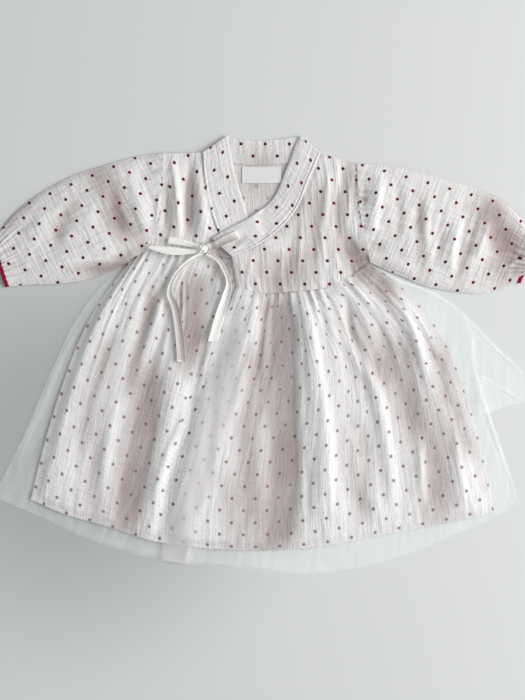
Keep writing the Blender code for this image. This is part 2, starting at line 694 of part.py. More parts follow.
def knot(pile, finish):
    """The knot is a low dome of wound ribbon that covers the ends of the loops and tails."""
    rings, spokes = KNOT_RINGS, KNOT_SPOKES
    turn = math.radians(KNOT["turn"])
    centre = np.array(KNOT["place"], float)

    def spot(ring, spoke):
        angle = math.tau * spoke / spokes
        a = KNOT["length"] / 2 * ring / rings * math.cos(angle)
        b = KNOT["width"] / 2 * ring / rings * math.sin(angle)
        return (centre[0] + a * math.cos(turn) - b * math.sin(turn),
                centre[1] + a * math.sin(turn) + b * math.cos(turn))

    spots = [spot(0, 0)] + [spot(ring, spoke) for ring in range(1, rings + 1)
                            for spoke in range(spokes)]
    base = max(pile.rest(x, y, KNOT_REACH) for x, y in spots)
    dome = [KNOT["rise"]] + [KNOT["rise"] * (1 - KNOT_FALL * (ring / rings) ** 3)
                             for ring in range(1, rings + 1) for spoke in range(spokes)]
    count = len(spots)
    points = [(x, y, base) for x, y in spots] + [(x, y, base + rise)
                                                 for (x, y), rise in zip(spots, dome)]
    faces = []
    for spoke in range(spokes):
        following = (spoke + 1) % spokes
        faces.append((0, 1 + following, 1 + spoke))
        for ring in range(rings - 1):
            inner, outer = 1 + ring * spokes, 1 + (ring + 1) * spokes
            faces.append((inner + spoke, inner + following, outer + following, outer + spoke))
    upper = [tuple(v + count for v in reversed(face)) for face in faces]
    last = 1 + (rings - 1) * spokes
    rim = [(last + s, last + (s + 1) % spokes, last + (s + 1) % spokes + count, last + s + count)
           for s in range(spokes)]
    return add_piece(pile, "tie_knot", points, faces + upper + rim, finish)


def neck_label(pile, finish):
    """A woven label, bare, sewn inside the back neck."""
    x, y = NECK_LABEL["place"]
    half_length, half_width = NECK_LABEL["length"] / 2, NECK_LABEL["width"] / 2
    corner = NECK_LABEL["corner"]
    outline = []
    for sx, sy in ((-1, -1), (1, -1), (1, 1), (-1, 1)):
        long_cut = (x + sx * (half_length - corner), y + sy * half_width)
        short_cut = (x + sx * half_length, y + sy * (half_width - corner))
        outline += [short_cut, long_cut] if sx * sy > 0 else [long_cut, short_cut]
    return plate(pile, "neck_label", outline, GAUZE + GAP, LABEL, finish)


def lay_dress():
    gauze = material("dotted_gauze", (0.83, 0.78, 0.77), 0.9)
    net = material("sheer_net", (0.86, 0.86, 0.87), 0.7, alpha=0.5)
    cream = material("cream_ribbon", (0.93, 0.91, 0.87), 0.55)
    red = material("crimson_edging", (0.42, 0.01, 0.06), 0.7)
    woven = material("label_cloth", (0.86, 0.85, 0.84), 0.6)

    pile = Pile()
    lay_back(pile, gauze, net)
    lay_collar_back(pile, gauze)
    neck_label(pile, woven)
    lay_sleeve(pile, "left", SLEEVE_LEFT_UPPER, SLEEVE_LEFT_LOWER, ARMHOLE_LEFT,
               SLEEVE_LEFT_FOLDS, gauze, red)
    lay_sleeve(pile, "right", SLEEVE_RIGHT_UPPER, SLEEVE_RIGHT_LOWER, ARMHOLE_RIGHT,
               SLEEVE_RIGHT_FOLDS, gauze, red)

    bodice = panel(SHOULDER_LEFT, [UNDERARM_LEFT] + WAIST_UNDER[1:-1],
                   ARMHOLE_LEFT[:-1] + [UNDERARM_LEFT], SEAM_UNDER)
    lay_bodice(pile, "bodice_front_under", bodice, BODICE_UNDER_FOLDS, 16, 12, shown_under,
               ["sleeve_left"], gauze)
    lay_collar(pile, "collar_under", FREE_UNDER, SEAM_UNDER, [FREE_UNDER[0], SEAM_UNDER[0]],
               [FREE_UNDER[-1], SEAM_UNDER[-1]], 14, shown_under, ["bodice_front_under"], gauze)
    waist_side = ["bodice_front_under", "collar_under", "sleeve_left"]
    skirt = panel(WAIST_UNDER, HEM[:4] + [UNDER_LAP[-1]], SIDE_LEFT, UNDER_LAP)
    lay_skirt(pile, "skirt_front_under", skirt, SKIRT_UNDER_FOLDS, UNDER_GATHERS, 0.62, waist_side,
              gauze)
    overskirt = panel(WAIST_UNDER, NET_HEM_LEFT, NET_SIDE_LEFT, NET_LAP)
    net_rows = spaced(0, 0.88, 12) + [0.92, 0.955, 1]
    lay_net(pile, "net_front_under", overskirt, 15, net_rows, waist_side, net)

    bodice = panel(SHOULDER_RIGHT, WAIST_OVER, (SEAM_OVER, [SEAM_OVER[-1], WAIST_OVER[0]]),
                   ARMHOLE_RIGHT)
    lay_bodice(pile, "bodice_front_over", bodice, BODICE_OVER_FOLDS, 20, 15, always_shown,
               ["sleeve_right"], gauze)
    lay_collar(pile, "collar_over", FREE_OVER, SEAM_OVER, [FREE_OVER[0], SEAM_OVER[0]],
               [FREE_OVER[-1], SEAM_OVER[-1]], 22, always_shown, ["bodice_front_over"], gauze)
    waist_side = ["bodice_front_over", "sleeve_right"]
    skirt = panel(WAIST_OVER, [WRAP_EDGE[-1]] + HEM[4:], WRAP_EDGE, SIDE_RIGHT)
    lay_skirt(pile, "skirt_front_over", skirt, SKIRT_OVER_FOLDS, OVER_GATHERS, 1.0, waist_side,
              gauze)
    overskirt = panel(WAIST_OVER, NET_HEM_RIGHT, NET_WRAP, NET_SIDE_RIGHT)
    lay_net(pile, "net_front_over", overskirt, 21, net_rows, waist_side, net)

    ribbon(pile, "tie_tail_left", TIE_TAIL_LEFT, cream)
    ribbon(pile, "tie_tail_right", TIE_TAIL_RIGHT, cream)
    ribbon(pile, "tie_strap", TIE_STRAP, cream)
    bow_loop(pile, "tie_loop_long", LOOP_LONG, cream)
    bow_loop(pile, "tie_loop_short", LOOP_SHORT, cream)
    knot(pile, cream)


for old in list(bpy.data.objects):
    bpy.data.objects.remove(old)
lay_dress()
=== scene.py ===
# %% [markdown]
# # A baby's wrap dress, laid flat
# The real dress is crinkled double gauze, printed with small dark red dots. A second skirt of sheer
# net lies over the gauze one, and a cream tape bow ties the wrap front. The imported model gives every
# piece its place. This lesson lays a thin, finely creased cloth on each of those solids.

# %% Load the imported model
import json
import math
from collections import namedtuple

import bpy
import numpy as np
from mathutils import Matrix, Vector
from mathutils.bvhtree import BVHTree

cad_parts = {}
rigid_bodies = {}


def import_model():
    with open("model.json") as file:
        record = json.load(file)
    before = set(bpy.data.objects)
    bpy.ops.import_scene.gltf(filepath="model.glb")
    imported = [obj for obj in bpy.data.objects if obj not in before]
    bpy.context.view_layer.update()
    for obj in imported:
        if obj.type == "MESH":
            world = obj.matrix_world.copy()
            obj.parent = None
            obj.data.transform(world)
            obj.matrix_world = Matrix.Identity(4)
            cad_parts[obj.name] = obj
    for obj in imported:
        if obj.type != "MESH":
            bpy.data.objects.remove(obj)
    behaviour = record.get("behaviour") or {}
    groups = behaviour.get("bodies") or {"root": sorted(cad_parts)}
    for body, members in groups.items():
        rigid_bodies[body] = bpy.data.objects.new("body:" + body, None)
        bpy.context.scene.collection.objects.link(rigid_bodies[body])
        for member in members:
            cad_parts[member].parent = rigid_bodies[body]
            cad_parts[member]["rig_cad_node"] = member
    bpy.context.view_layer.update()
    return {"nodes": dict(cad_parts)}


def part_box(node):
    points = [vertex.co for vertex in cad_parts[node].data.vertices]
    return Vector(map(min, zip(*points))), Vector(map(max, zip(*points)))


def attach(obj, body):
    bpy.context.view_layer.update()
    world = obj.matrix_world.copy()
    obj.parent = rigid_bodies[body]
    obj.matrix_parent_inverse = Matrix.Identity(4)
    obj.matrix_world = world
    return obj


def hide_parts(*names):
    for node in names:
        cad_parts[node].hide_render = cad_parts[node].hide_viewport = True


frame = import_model()
MM = 0.001

# %% [markdown]
# ## The camera
# The dress was photographed from straight above. One picture point covers one millimetre of cloth,
# so the camera stands a metre up and its lens follows from that height. The height is a guess: the
# picture shows no vertical side that would tell it.

# %% Camera
EYE_HEIGHT = 1000.0
CLOTH_HEIGHT = 7.0
PICTURE_HEIGHT = 700.0
PICTURE_MIDDLE = (-1.5, 5.0)


def add_object(name, data):
    """A new object that holds this data, in the scene."""
    made = bpy.data.objects.new(name, data)
    bpy.context.scene.collection.objects.link(made)
    return made


lens = bpy.data.cameras.new("camera")
lens.sensor_fit = "VERTICAL"
lens.sensor_height = 24.0
lens.lens = lens.sensor_height * (EYE_HEIGHT - CLOTH_HEIGHT) / PICTURE_HEIGHT
camera = add_object("camera", lens)
camera.location = (PICTURE_MIDDLE[0] * MM, PICTURE_MIDDLE[1] * MM, EYE_HEIGHT * MM)
bpy.context.scene.camera = camera
print("lens", round(lens.lens, 2), "mm")

# %% [markdown]
# ## Shader maths
# A finish mixes many small sums, and the node editor hides them in boxes. A wire stands for one
# socket here, so that a sum of wires reads as a sum. Numbers make Math nodes, and colours and
# vectors make Mix and Vector Math nodes.

# %% Wires
def maths(operation, reflected=False):
    """A method for one operation. Reflected, the wire is its second value, as in 1 - wire."""
    def method(wire, other=None):
        return wire.sum(operation, other, wire) if reflected else wire.sum(operation, wire, other)
    return method


class Wire:
    """One output socket of a finish, which can be added, multiplied and compared."""

    def __init__(self, finish, socket):
        self.finish = finish
        self.socket = socket

    def sum(self, operation, first, second=None):
        vector = any(isinstance(w, Wire) and w.socket.type == "VECTOR" for w in (first, second))
        kind = "ShaderNodeVectorMath" if vector else "ShaderNodeMath"
        values = {0: first} if second is None else {0: first, 1: second}
        return self.finish.node(kind, {"operation": operation}, values)

    __add__, __radd__ = maths("ADD"), maths("ADD", True)
    __sub__, __rsub__ = maths("SUBTRACT"), maths("SUBTRACT", True)
    __mul__, __rmul__ = maths("MULTIPLY"), maths("MULTIPLY", True)
    __pow__, __rpow__ = maths("POWER"), maths("POWER", True)
    least, part, sine = maths("MINIMUM"), maths("FRACT"), maths("SINE")

    def ribs(self, rate):
        """Even ribs from 0 to 1 along this wire."""
        return (self * rate).sine() * 0.5 + 0.5

    def step(self, start, stop, low=0.0, high=1.0):
        """A soft step from low to high while this wire goes from start to stop."""
        return self.finish.node("ShaderNodeMapRange", {"interpolation_type": "SMOOTHSTEP"},
                                {"Value": self, "From Min": start, "From Max": stop,
                                 "To Min": low, "To Max": high})

    def split(self):
        """The three numbers of a vector."""
        return [self.finish.node("ShaderNodeSeparateXYZ", {}, {0: self}, out=i) for i in range(3)]

print("a wire can be added, multiplied and compared")

# %% Finishes
class Finish:
    """A material with its Principled shader, for a slot, whose nodes are made by one method."""

    def __init__(self, name, slot, colour, roughness, **steady):
        self.slot = slot
        self.material = bpy.data.materials.new(name)
        self.material.use_nodes = True
        self.tree = self.material.node_tree
        self.shader = self.tree.nodes["Principled BSDF"]
        self.put("Base Color", (*colour, 1.0))
        self.put("Roughness", roughness)
        for socket, value in steady.items():
            self.put(socket.replace("_", " "), value)
        self.material.diffuse_color = (*colour, 1.0)

    def fill(self, socket, value):
        """Join a wire to a socket, or set its value."""
        if isinstance(value, Wire):
            self.tree.links.new(value.socket, socket)
        else:
            socket.default_value = value

    def put(self, socket, value):
        self.fill(self.shader.inputs[socket], value)

    def node(self, kind, settings, values, out=0):
        """Any node: its type, its settings, the values or wires of its sockets, and its output."""
        made = self.tree.nodes.new(kind)
        for name, value in settings.items():
            setattr(made, name, value)
        for name, value in values.items():
            self.fill(made.inputs[name], value)
        return Wire(self, made.outputs[out])

    def blend(self, share, first, second):
        """A colour between two, by a share from 0 to 1."""
        first, second = [(*c, 1.0) if isinstance(c, tuple) and len(c) == 3 else c
                         for c in (first, second)]
        return self.node("ShaderNodeMix", {"data_type": "RGBA"},
                         {"Factor": share, 6: first, 7: second}, out=2)

    def cloth_place(self):
        """Where a point lies on the cloth, in steps of the dot pattern."""
        return self.node("ShaderNodeUVMap", {"uv_map": "cloth"}, {})

    def felt(self, name):
        """A number that the mesh carries at its points."""
        return self.node("ShaderNodeAttribute", {"attribute_name": name}, {}, out="Fac")

    def noise(self, place, scale, detail=2.0, rough=0.5):
        return self.node("ShaderNodeTexNoise", {},
                         {"Vector": place, "Scale": scale, "Detail": detail, "Roughness": rough})

    def stretched(self, place, across, down):
        """A place whose two directions are scaled apart, for marks that are long one way."""
        return self.node("ShaderNodeVectorMath", {"operation": "MULTIPLY"},
                         {0: place, 1: (across, down, 1.0)})

    def raise_by(self, height, distance, strength=1.0):
        """Bump of a height from 0 to 1 over a distance in millimetres."""
        values = {"Height": height, "Distance": distance * MM, "Strength": strength}
        self.put("Normal", self.node("ShaderNodeBump", {}, values))


print("finishes are ready")

# %% [markdown]
# ## Dotted gauze
# Double gauze is two thin layers tacked together, which shrink into fine lengthwise crinkles. The
# dots stand in a square pattern with one more in the middle of each square. An image could carry
# them, but two distances in the cloth's own plane draw them sharp at any size. The hollows of the
# folds are painted with a warm shade, since light that reaches them has bounced from pinkish cloth.

# %% Gauze
DOT_STEP = 24.3
DOT_RADIUS = 1.7
THREAD_STEP = 1.1
RIDGE = -0.35
GAUZE_GREY, GAUZE_WHITE = (0.83, 0.82, 0.815), (0.875, 0.87, 0.865)
FOLD_SHADE = (0.38, 0.305, 0.29)
HALO_PINK = (0.75, 0.36, 0.42)
INK_RED, INK_DARK = (0.13, 0.006, 0.03), (0.045, 0.006, 0.018)


def dotted_gauze(name, dot_strength=1.0):
    """dot_strength is how much of the dots' ink shows. Less does where net covers the cloth."""
    gauze = Finish(name, "gauze", GAUZE_GREY, 0.92, Specular_IOR_Level=0.25)
    place = gauze.cloth_place()
    across, down, _ = place.split()

    def from_dot(shift):
        a, b = (across + shift).part() - 0.5, (down + shift).part() - 0.5
        return a * a + b * b

    ragged = gauze.noise(place, 40.0, 1.0) - 0.5
    distance = from_dot(0.0).least(from_dot(0.5)) ** 0.5 * DOT_STEP + ragged * 0.5
    dot = distance.step(DOT_RADIUS + 0.35, DOT_RADIUS - 0.45) * dot_strength
    halo = distance.step(DOT_RADIUS + 1.6, DOT_RADIUS) * 0.2 * dot_strength

    cloth = gauze.blend(gauze.noise(place, 1.3, 3.0).step(0.35, 0.65), GAUZE_GREY, GAUZE_WHITE)
    # Painted shade in the hollows of the folds, by how deep each point lies
    cloth = gauze.blend(gauze.felt("hollow").step(RIDGE, 1.15), cloth, FOLD_SHADE)
    cloth = gauze.blend(halo, cloth, HALO_PINK)
    ink = gauze.blend(gauze.noise(place, 2.2, 1.0).step(0.35, 0.65), INK_RED, INK_DARK)
    gauze.put("Base Color", gauze.blend(dot, cloth, ink))

    long_crinkle = gauze.noise(gauze.stretched(place, 11.0, 1.3), 1.0, 3.0, 0.6)
    cross_crinkle = gauze.noise(gauze.stretched(place, 2.0, 9.0), 1.0, 2.0, 0.5)
    thread = math.tau * DOT_STEP / THREAD_STEP
    weave = (across * thread).sine() * (down * thread).sine()
    height = long_crinkle * 0.8 + cross_crinkle * 0.6 + weave * 0.03
    gauze.raise_by(height, 1.4, 0.95)
    gauze.put("Roughness", long_crinkle.step(0.3, 0.7, 0.86, 0.96))
    return gauze


gauze = dotted_gauze("dotted_gauze")
veiled_gauze = dotted_gauze("dotted_gauze_under_net", 0.8)
inside_gauze = dotted_gauze("dotted_gauze_inside", 0.35)
print("gauze nodes", len(gauze.tree.nodes))

# %% [markdown]
# ## Net, tape, edging and label
# The net is a fine even mesh, too fine to see from a step away. It shows as a white veil, denser
# where it is folded, so its alpha carries the folds. Light also passes on through its threads, which
# a surface with alpha can't show, so a weak glow of its own stands for that light. The tape has
# lengthwise ribs, the cuffs' edging is crimson and the label is smooth and bare.

# %% The other finishes
NET_VEIL, STREAK_VEIL, PATCH_VEIL, FOLD_VEIL, DOUBLED_VEIL = 0.055, 0.1, 0.06, 0.3, 0.7
DENSEST = 0.9
NET_BLUE, NET_CREAM = (0.90, 0.93, 0.95), (0.85, 0.835, 0.83)
BLACK, WHITE = (0.0, 0.0, 0.0), (1.0, 1.0, 1.0)
TAPE_CREAM, TAPE_WHITE, TAPE_SHADE = (0.93, 0.92, 0.885), (0.97, 0.965, 0.95), (0.60, 0.56, 0.545)
EDGING_DARK, EDGING_RED = (0.20, 0.003, 0.025), (0.38, 0.01, 0.05)
LABEL_GREY, LABEL_WHITE = (0.77, 0.765, 0.76), (0.81, 0.805, 0.80)


def sheer_net():
    net = Finish("sheer_net", "net", (0.92, 0.925, 0.93), 0.6, Specular_IOR_Level=0.2,
                 Emission_Strength=0.2)
    place = net.cloth_place()
    streaks = net.noise(net.stretched(place, 3.0, 0.35), 1.0, 3.0, 0.6)
    patches = net.noise(place, 0.55, 2.0)
    doubled = net.felt("doubled")
    folded = net.felt("folded")
    veil = NET_VEIL + streaks.step(0.4, 0.75) * STREAK_VEIL + patches.step(0.35, 0.65) * PATCH_VEIL
    net.put("Alpha", (veil + folded * FOLD_VEIL + doubled * DOUBLED_VEIL).least(DENSEST))
    dense = doubled.step(0.0, 0.7)
    net.put("Base Color", net.blend(dense, NET_BLUE, NET_CREAM))
    net.put("Emission Color", net.blend(dense, WHITE, BLACK))
    net.raise_by(streaks, 0.6, 0.4)
    return net


def cream_tape():
    tape = Finish("cream_tape", "ribbon", (0.95, 0.945, 0.92), 0.6, Specular_IOR_Level=0.35)
    place = tape.cloth_place()
    across, down, _ = place.split()
    worn = tape.noise(place, 6.0, 3.0)
    cream = tape.blend(worn.step(0.3, 0.7), TAPE_CREAM, TAPE_WHITE)
    # Painted shade where the mesh carries it: on the lower left tail, the strap and between the knot's
    # windings
    tape.put("Base Color", tape.blend(tape.felt("painted_shade"), cream, TAPE_SHADE))
    tape.put("Roughness", worn.step(0.3, 0.7, 0.5, 0.68))
    tape.raise_by(across.ribs(60.0) * 0.6 + down.ribs(190.0) * 0.2 + worn * 0.2, 0.25, 0.5)
    return tape


def crimson_edging():
    edging = Finish("crimson_edging", "edging", (0.36, 0.006, 0.035), 0.75, Specular_IOR_Level=0.3)
    place = edging.cloth_place()
    worn = edging.noise(edging.stretched(place, 6.0, 14.0), 1.0, 3.0)
    edging.put("Base Color", edging.blend(worn.step(0.3, 0.7), EDGING_DARK, EDGING_RED))
    edging.raise_by(worn, 0.5, 0.6)
    return edging


def label_cloth():
    label = Finish("label_cloth", "label", (0.84, 0.835, 0.83), 0.6, Specular_IOR_Level=0.3)
    place = label.cloth_place()
    satin = place.split()[1].ribs(150.0)
    soft = label.noise(place, 3.0, 2.0)
    label.put("Base Color", label.blend(soft, LABEL_GREY, LABEL_WHITE))
    label.raise_by(satin * 0.5 + soft * 0.5, 0.15, 0.4)
    return label


net, tape, edging, label = sheer_net(), cream_tape(), crimson_edging(), label_cloth()
print("finishes", [(f.material.name, f.slot) for f in (gauze, net, tape, edging, label)])

# %% [markdown]
# ## Cut pieces from their edges
# A pattern piece is known by its four edges. A smooth curve runs through the few points of each
# edge, and a patch between them gives every point of the piece. The points are those of the packed
# model, in millimetres from the middle of the dress, so both have the same outline.

# %% Edges and panels
def smooth_line(points, samples=16):
    """Close points along a smooth curve through a few."""
    knots = np.array(points, float)
    steps = np.linalg.norm(np.diff(knots, axis=0), axis=1)
    slopes = np.diff(knots, axis=0) / steps[:, None]
    tangents = np.vstack([slopes[:1], slopes])
    for i in range(1, len(knots) - 1):
        before, after = steps[i - 1], steps[i]
        tangents[i] = (slopes[i - 1] * after + slopes[i] * before) / (before + after)
    t = np.linspace(0, 1, samples + 1)[1:, None]
    dense = [knots[:1]]
    for i, step in enumerate(steps):
        start = (1 + 2 * t) * (1 - t) ** 2 * knots[i] + t * (1 - t) ** 2 * step * tangents[i]
        end = t * t * (3 - 2 * t) * knots[i + 1] - t * t * (1 - t) * step * tangents[i + 1]
        dense.append(start + end)
    return np.vstack(dense)


def lengths_along(line):
    return np.concatenate([[0], np.cumsum(np.linalg.norm(np.diff(line, axis=0), axis=1))])


def edge(points):
    """An edge as a function of 0 to 1 along it. Runs given in a tuple meet in corners."""
    runs = points if isinstance(points, tuple) else (points,)
    dense = np.vstack([smooth_line(run) for run in runs])
    along = lengths_along(dense)
    along /= along[-1]
    return lambda u: np.stack([np.interp(u, along, dense[:, i]) for i in range(dense.shape[1])], -1)


def panel(top, bottom, left, right):
    """A piece between four edges. It gives x and y for rows of down and columns of across."""
    top, bottom, left, right = edge(top), edge(bottom), edge(left), edge(right)

    def place(across, down):
        a, d = across[None, :, None], down[:, None, None]
        ruled = ((1 - d) * top(across)[None] + d * bottom(across)[None]
                 + (1 - a) * left(down)[:, None] + a * right(down)[:, None])
        corners = ((1 - a) * ((1 - d) * top(0.0) + d * bottom(0.0))
                   + a * ((1 - d) * top(1.0) + d * bottom(1.0)))
        spots = ruled - corners
        return spots[..., 0], spots[..., 1]

    return place


# %% [markdown]
# ## Heights
# A laid cloth takes its height from three things: the imported solid that it stands for, the creases
# that are placed after the photograph, and the crinkle of the gauze. Cloth may also not
# sink into what lies under it, so a height map keeps the top of everything laid so far.

# %% Heights of the solids
RAY_START, NEAR_START = 0.1, 0.03
SOLID_RIM = 0.004
COARSER = 4


def ease(value):
    value = np.clip(value, 0.0, 1.0)
    return value * value * (3.0 - 2.0 * value)


def blur(grid, cells):
    """Soften a grid of numbers over some cells each way."""
    reach = int(3 * cells) + 1
    taps = np.exp(-0.5 * (np.arange(-reach, reach + 1) / cells) ** 2)
    taps /= taps.sum()
    for _ in range(2):
        wide = np.pad(grid, ((reach, reach), (0, 0)), "edge")
        grid = sum(tap * wide[k:k + len(grid)] for k, tap in enumerate(taps)).T
    return grid


def solid_height(node, x, y):
    """Height of a solid's upper side at each point, in millimetres, or of its nearest point."""
    mesh = frame["nodes"][node].data
    tree = BVHTree.FromPolygons([v.co for v in mesh.vertices], [p.vertices for p in mesh.polygons])
    height = np.empty(x.shape)
    for i, (px, py) in enumerate(zip(x.flat, y.flat)):
        hit = tree.ray_cast(Vector((px * MM, py * MM, RAY_START)), Vector((0, 0, -1)))[0]
        if hit is None:
            hit = tree.find_nearest(Vector((px * MM, py * MM, NEAR_START)))[0]
        height.flat[i] = hit.z / MM
    return height


def settled(node, place, across, down, soft=3.0):
    """A solid's upper side on a fine grid, with its facets softened away."""
    coarse = [np.linspace(SOLID_RIM, 1 - SOLID_RIM, max(8, len(marks) // COARSER))
              for marks in (across, down)]
    height = solid_height(node, *place(*coarse))
    height = np.array([np.interp(across, coarse[0], row) for row in height])
    height = np.array([np.interp(down, coarse[1], column) for column in height.T]).T
    return blur(height, soft)


def blur_line(values, cells):
    """Soften a row of numbers."""
    return blur(values[:, None] + np.zeros((1, 3)), cells)[:, 0]

print("heights are taken every", COARSER, "cells of a piece")

# %% The stack of laid pieces
class Stack:
    """The top of each piece that is laid down, on squares of 1 mm."""

    def __init__(self):
        self.tops = {}
        self.wide, self.deep = 300, 240

    def squares(self, x, y):
        return (np.clip(np.round(y + self.deep).astype(int), 0, 2 * self.deep - 1),
                np.clip(np.round(x + self.wide).astype(int), 0, 2 * self.wide - 1))

    def lay(self, name, x, y, z):
        top = np.zeros((2 * self.deep, 2 * self.wide))
        np.maximum.at(top, self.squares(x, y), z)
        near = self.widened(top)
        self.tops[name] = np.where(top > 0, top, near * (self.widened(near) > 0) * (near > 0))

    @staticmethod
    def widened(top):
        """The highest of each square and the eight around it."""
        for axis in (0, 1):
            top = np.maximum(top, np.maximum(np.roll(top, 1, axis), np.roll(top, -1, axis)))
        return top

    def under(self, x, y, beside=(), widen=True):
        """Height of the highest piece at each point, but for those sewn beside it."""
        top = np.zeros((2 * self.deep, 2 * self.wide))
        for name, piece in self.tops.items():
            if name not in beside:
                top = np.maximum(top, piece)
        if widen:
            top = self.widened(top)
        row = np.clip(y + self.deep, 0, 2 * self.deep - 2)
        column = np.clip(x + self.wide, 0, 2 * self.wide - 2)
        r, c = row.astype(int), column.astype(int)
        fr, fc = row - r, column - c
        return ((1 - fr) * ((1 - fc) * top[r, c] + fc * top[r, c + 1])
                + fr * ((1 - fc) * top[r + 1, c] + fc * top[r + 1, c + 1]))


stack = Stack()
CLEARANCE = 0.3


def kept_above(z, x, y, beside, soft=1.0):
    """Lift a cloth where it would sink into what lies under it, and leave the rest as it is."""
    floor = stack.under(x, y, beside) + CLEARANCE
    lifted = z + blur(np.maximum(floor - z, 0.0), soft)
    return np.maximum(lifted, floor)


print("the stack is", 2 * stack.wide, "by", 2 * stack.deep, "mm")

# %% [markdown]
# ## Creases and crinkle
# A crease is a soft ridge or trough along a smooth line, wider on one side where it leans. The
# numbers are the crease's half width and rise in millimetres. Fine crinkle is smooth noise that is
# stretched along the threads.

# %% Creases
Crease = namedtuple("Crease", "path width rise lean", defaults=(0.0,))
LONGEST_END = 45.0


def crease_height(creases, x, y):
    total = np.zeros(x.shape)
    for crease in creases:
        line = smooth_line(crease.path, 6)
        reach = crease.width * (1 + abs(crease.lean)) + 1
        inside = ((x > line[:, 0].min() - reach) & (x < line[:, 0].max() + reach)
                  & (y > line[:, 1].min() - reach) & (y < line[:, 1].max() + reach))
        px, py = x[inside], y[inside]
        nearest = np.full(px.shape, 1e9)
        aside, along = np.zeros(px.shape), np.zeros(px.shape)
        marks = lengths_along(line)
        for start, stop, mark in zip(line, line[1:], marks):
            run = stop - start
            length = np.hypot(*run)
            run = run / length
            dx, dy = px - start[0], py - start[1]
            forward = np.clip(dx * run[0] + dy * run[1], 0, length)
            away = np.hypot(dx - forward * run[0], dy - forward * run[1])
            closer = away < nearest
            nearest = np.where(closer, away, nearest)
            aside = np.where(closer, np.sign(dy * run[0] - dx * run[1]) * away, aside)
            along = np.where(closer, mark + forward, along)
        width = crease.width * (1 + crease.lean * np.sign(aside))
        profile = np.where(nearest < width, 0.5 + 0.5 * np.cos(math.pi * nearest / width), 0.0)
        ends = min(LONGEST_END, 0.42 * marks[-1])
        total[inside] += crease.rise * profile * ease(along / ends) * ease((marks[-1] - along) / ends)
    return total

print("a crease fades over its ends, at most", LONGEST_END, "mm")

# %% Crinkle
def smooth_noise(u, v, cell_u, cell_v, seed):
    """Noise from -1 to 1 with soft cells of a given size."""
    table = np.random.default_rng(seed).uniform(-1, 1, (128, 128))
    gu, gv = u / cell_u, v / cell_v
    iu, iv = np.floor(gu).astype(int), np.floor(gv).astype(int)
    fu, fv = ease(gu - iu), ease(gv - iv)
    a, b = table[iu % 128, iv % 128], table[(iu + 1) % 128, iv % 128]
    c, d = table[iu % 128, (iv + 1) % 128], table[(iu + 1) % 128, (iv + 1) % 128]
    return (1 - fv) * ((1 - fu) * a + fu * b) + fv * ((1 - fu) * c + fu * d)


# Width and length of the crinkle's cells
FINE_CELLS, BROAD_CELLS, CROSS_CELLS, DRIFT_CELLS = (2.2, 30), (5.5, 50), (12, 2.8), (30, 40)


def crinkle(u, v, seed, cross=0.15):
    """Relief of crinkled gauze for a place on the cloth in millimetres."""
    drift = 1.5 * smooth_noise(u, v, *DRIFT_CELLS, seed + 3)
    return (0.25 * smooth_noise(u + drift, v, *FINE_CELLS, seed)
            + 0.26 * smooth_noise(u + drift, v, *BROAD_CELLS, seed + 1)
            + cross * smooth_noise(u, v + drift, *CROSS_CELLS, seed + 2))


print("crinkle cells, mm:", FINE_CELLS, BROAD_CELLS, CROSS_CELLS)
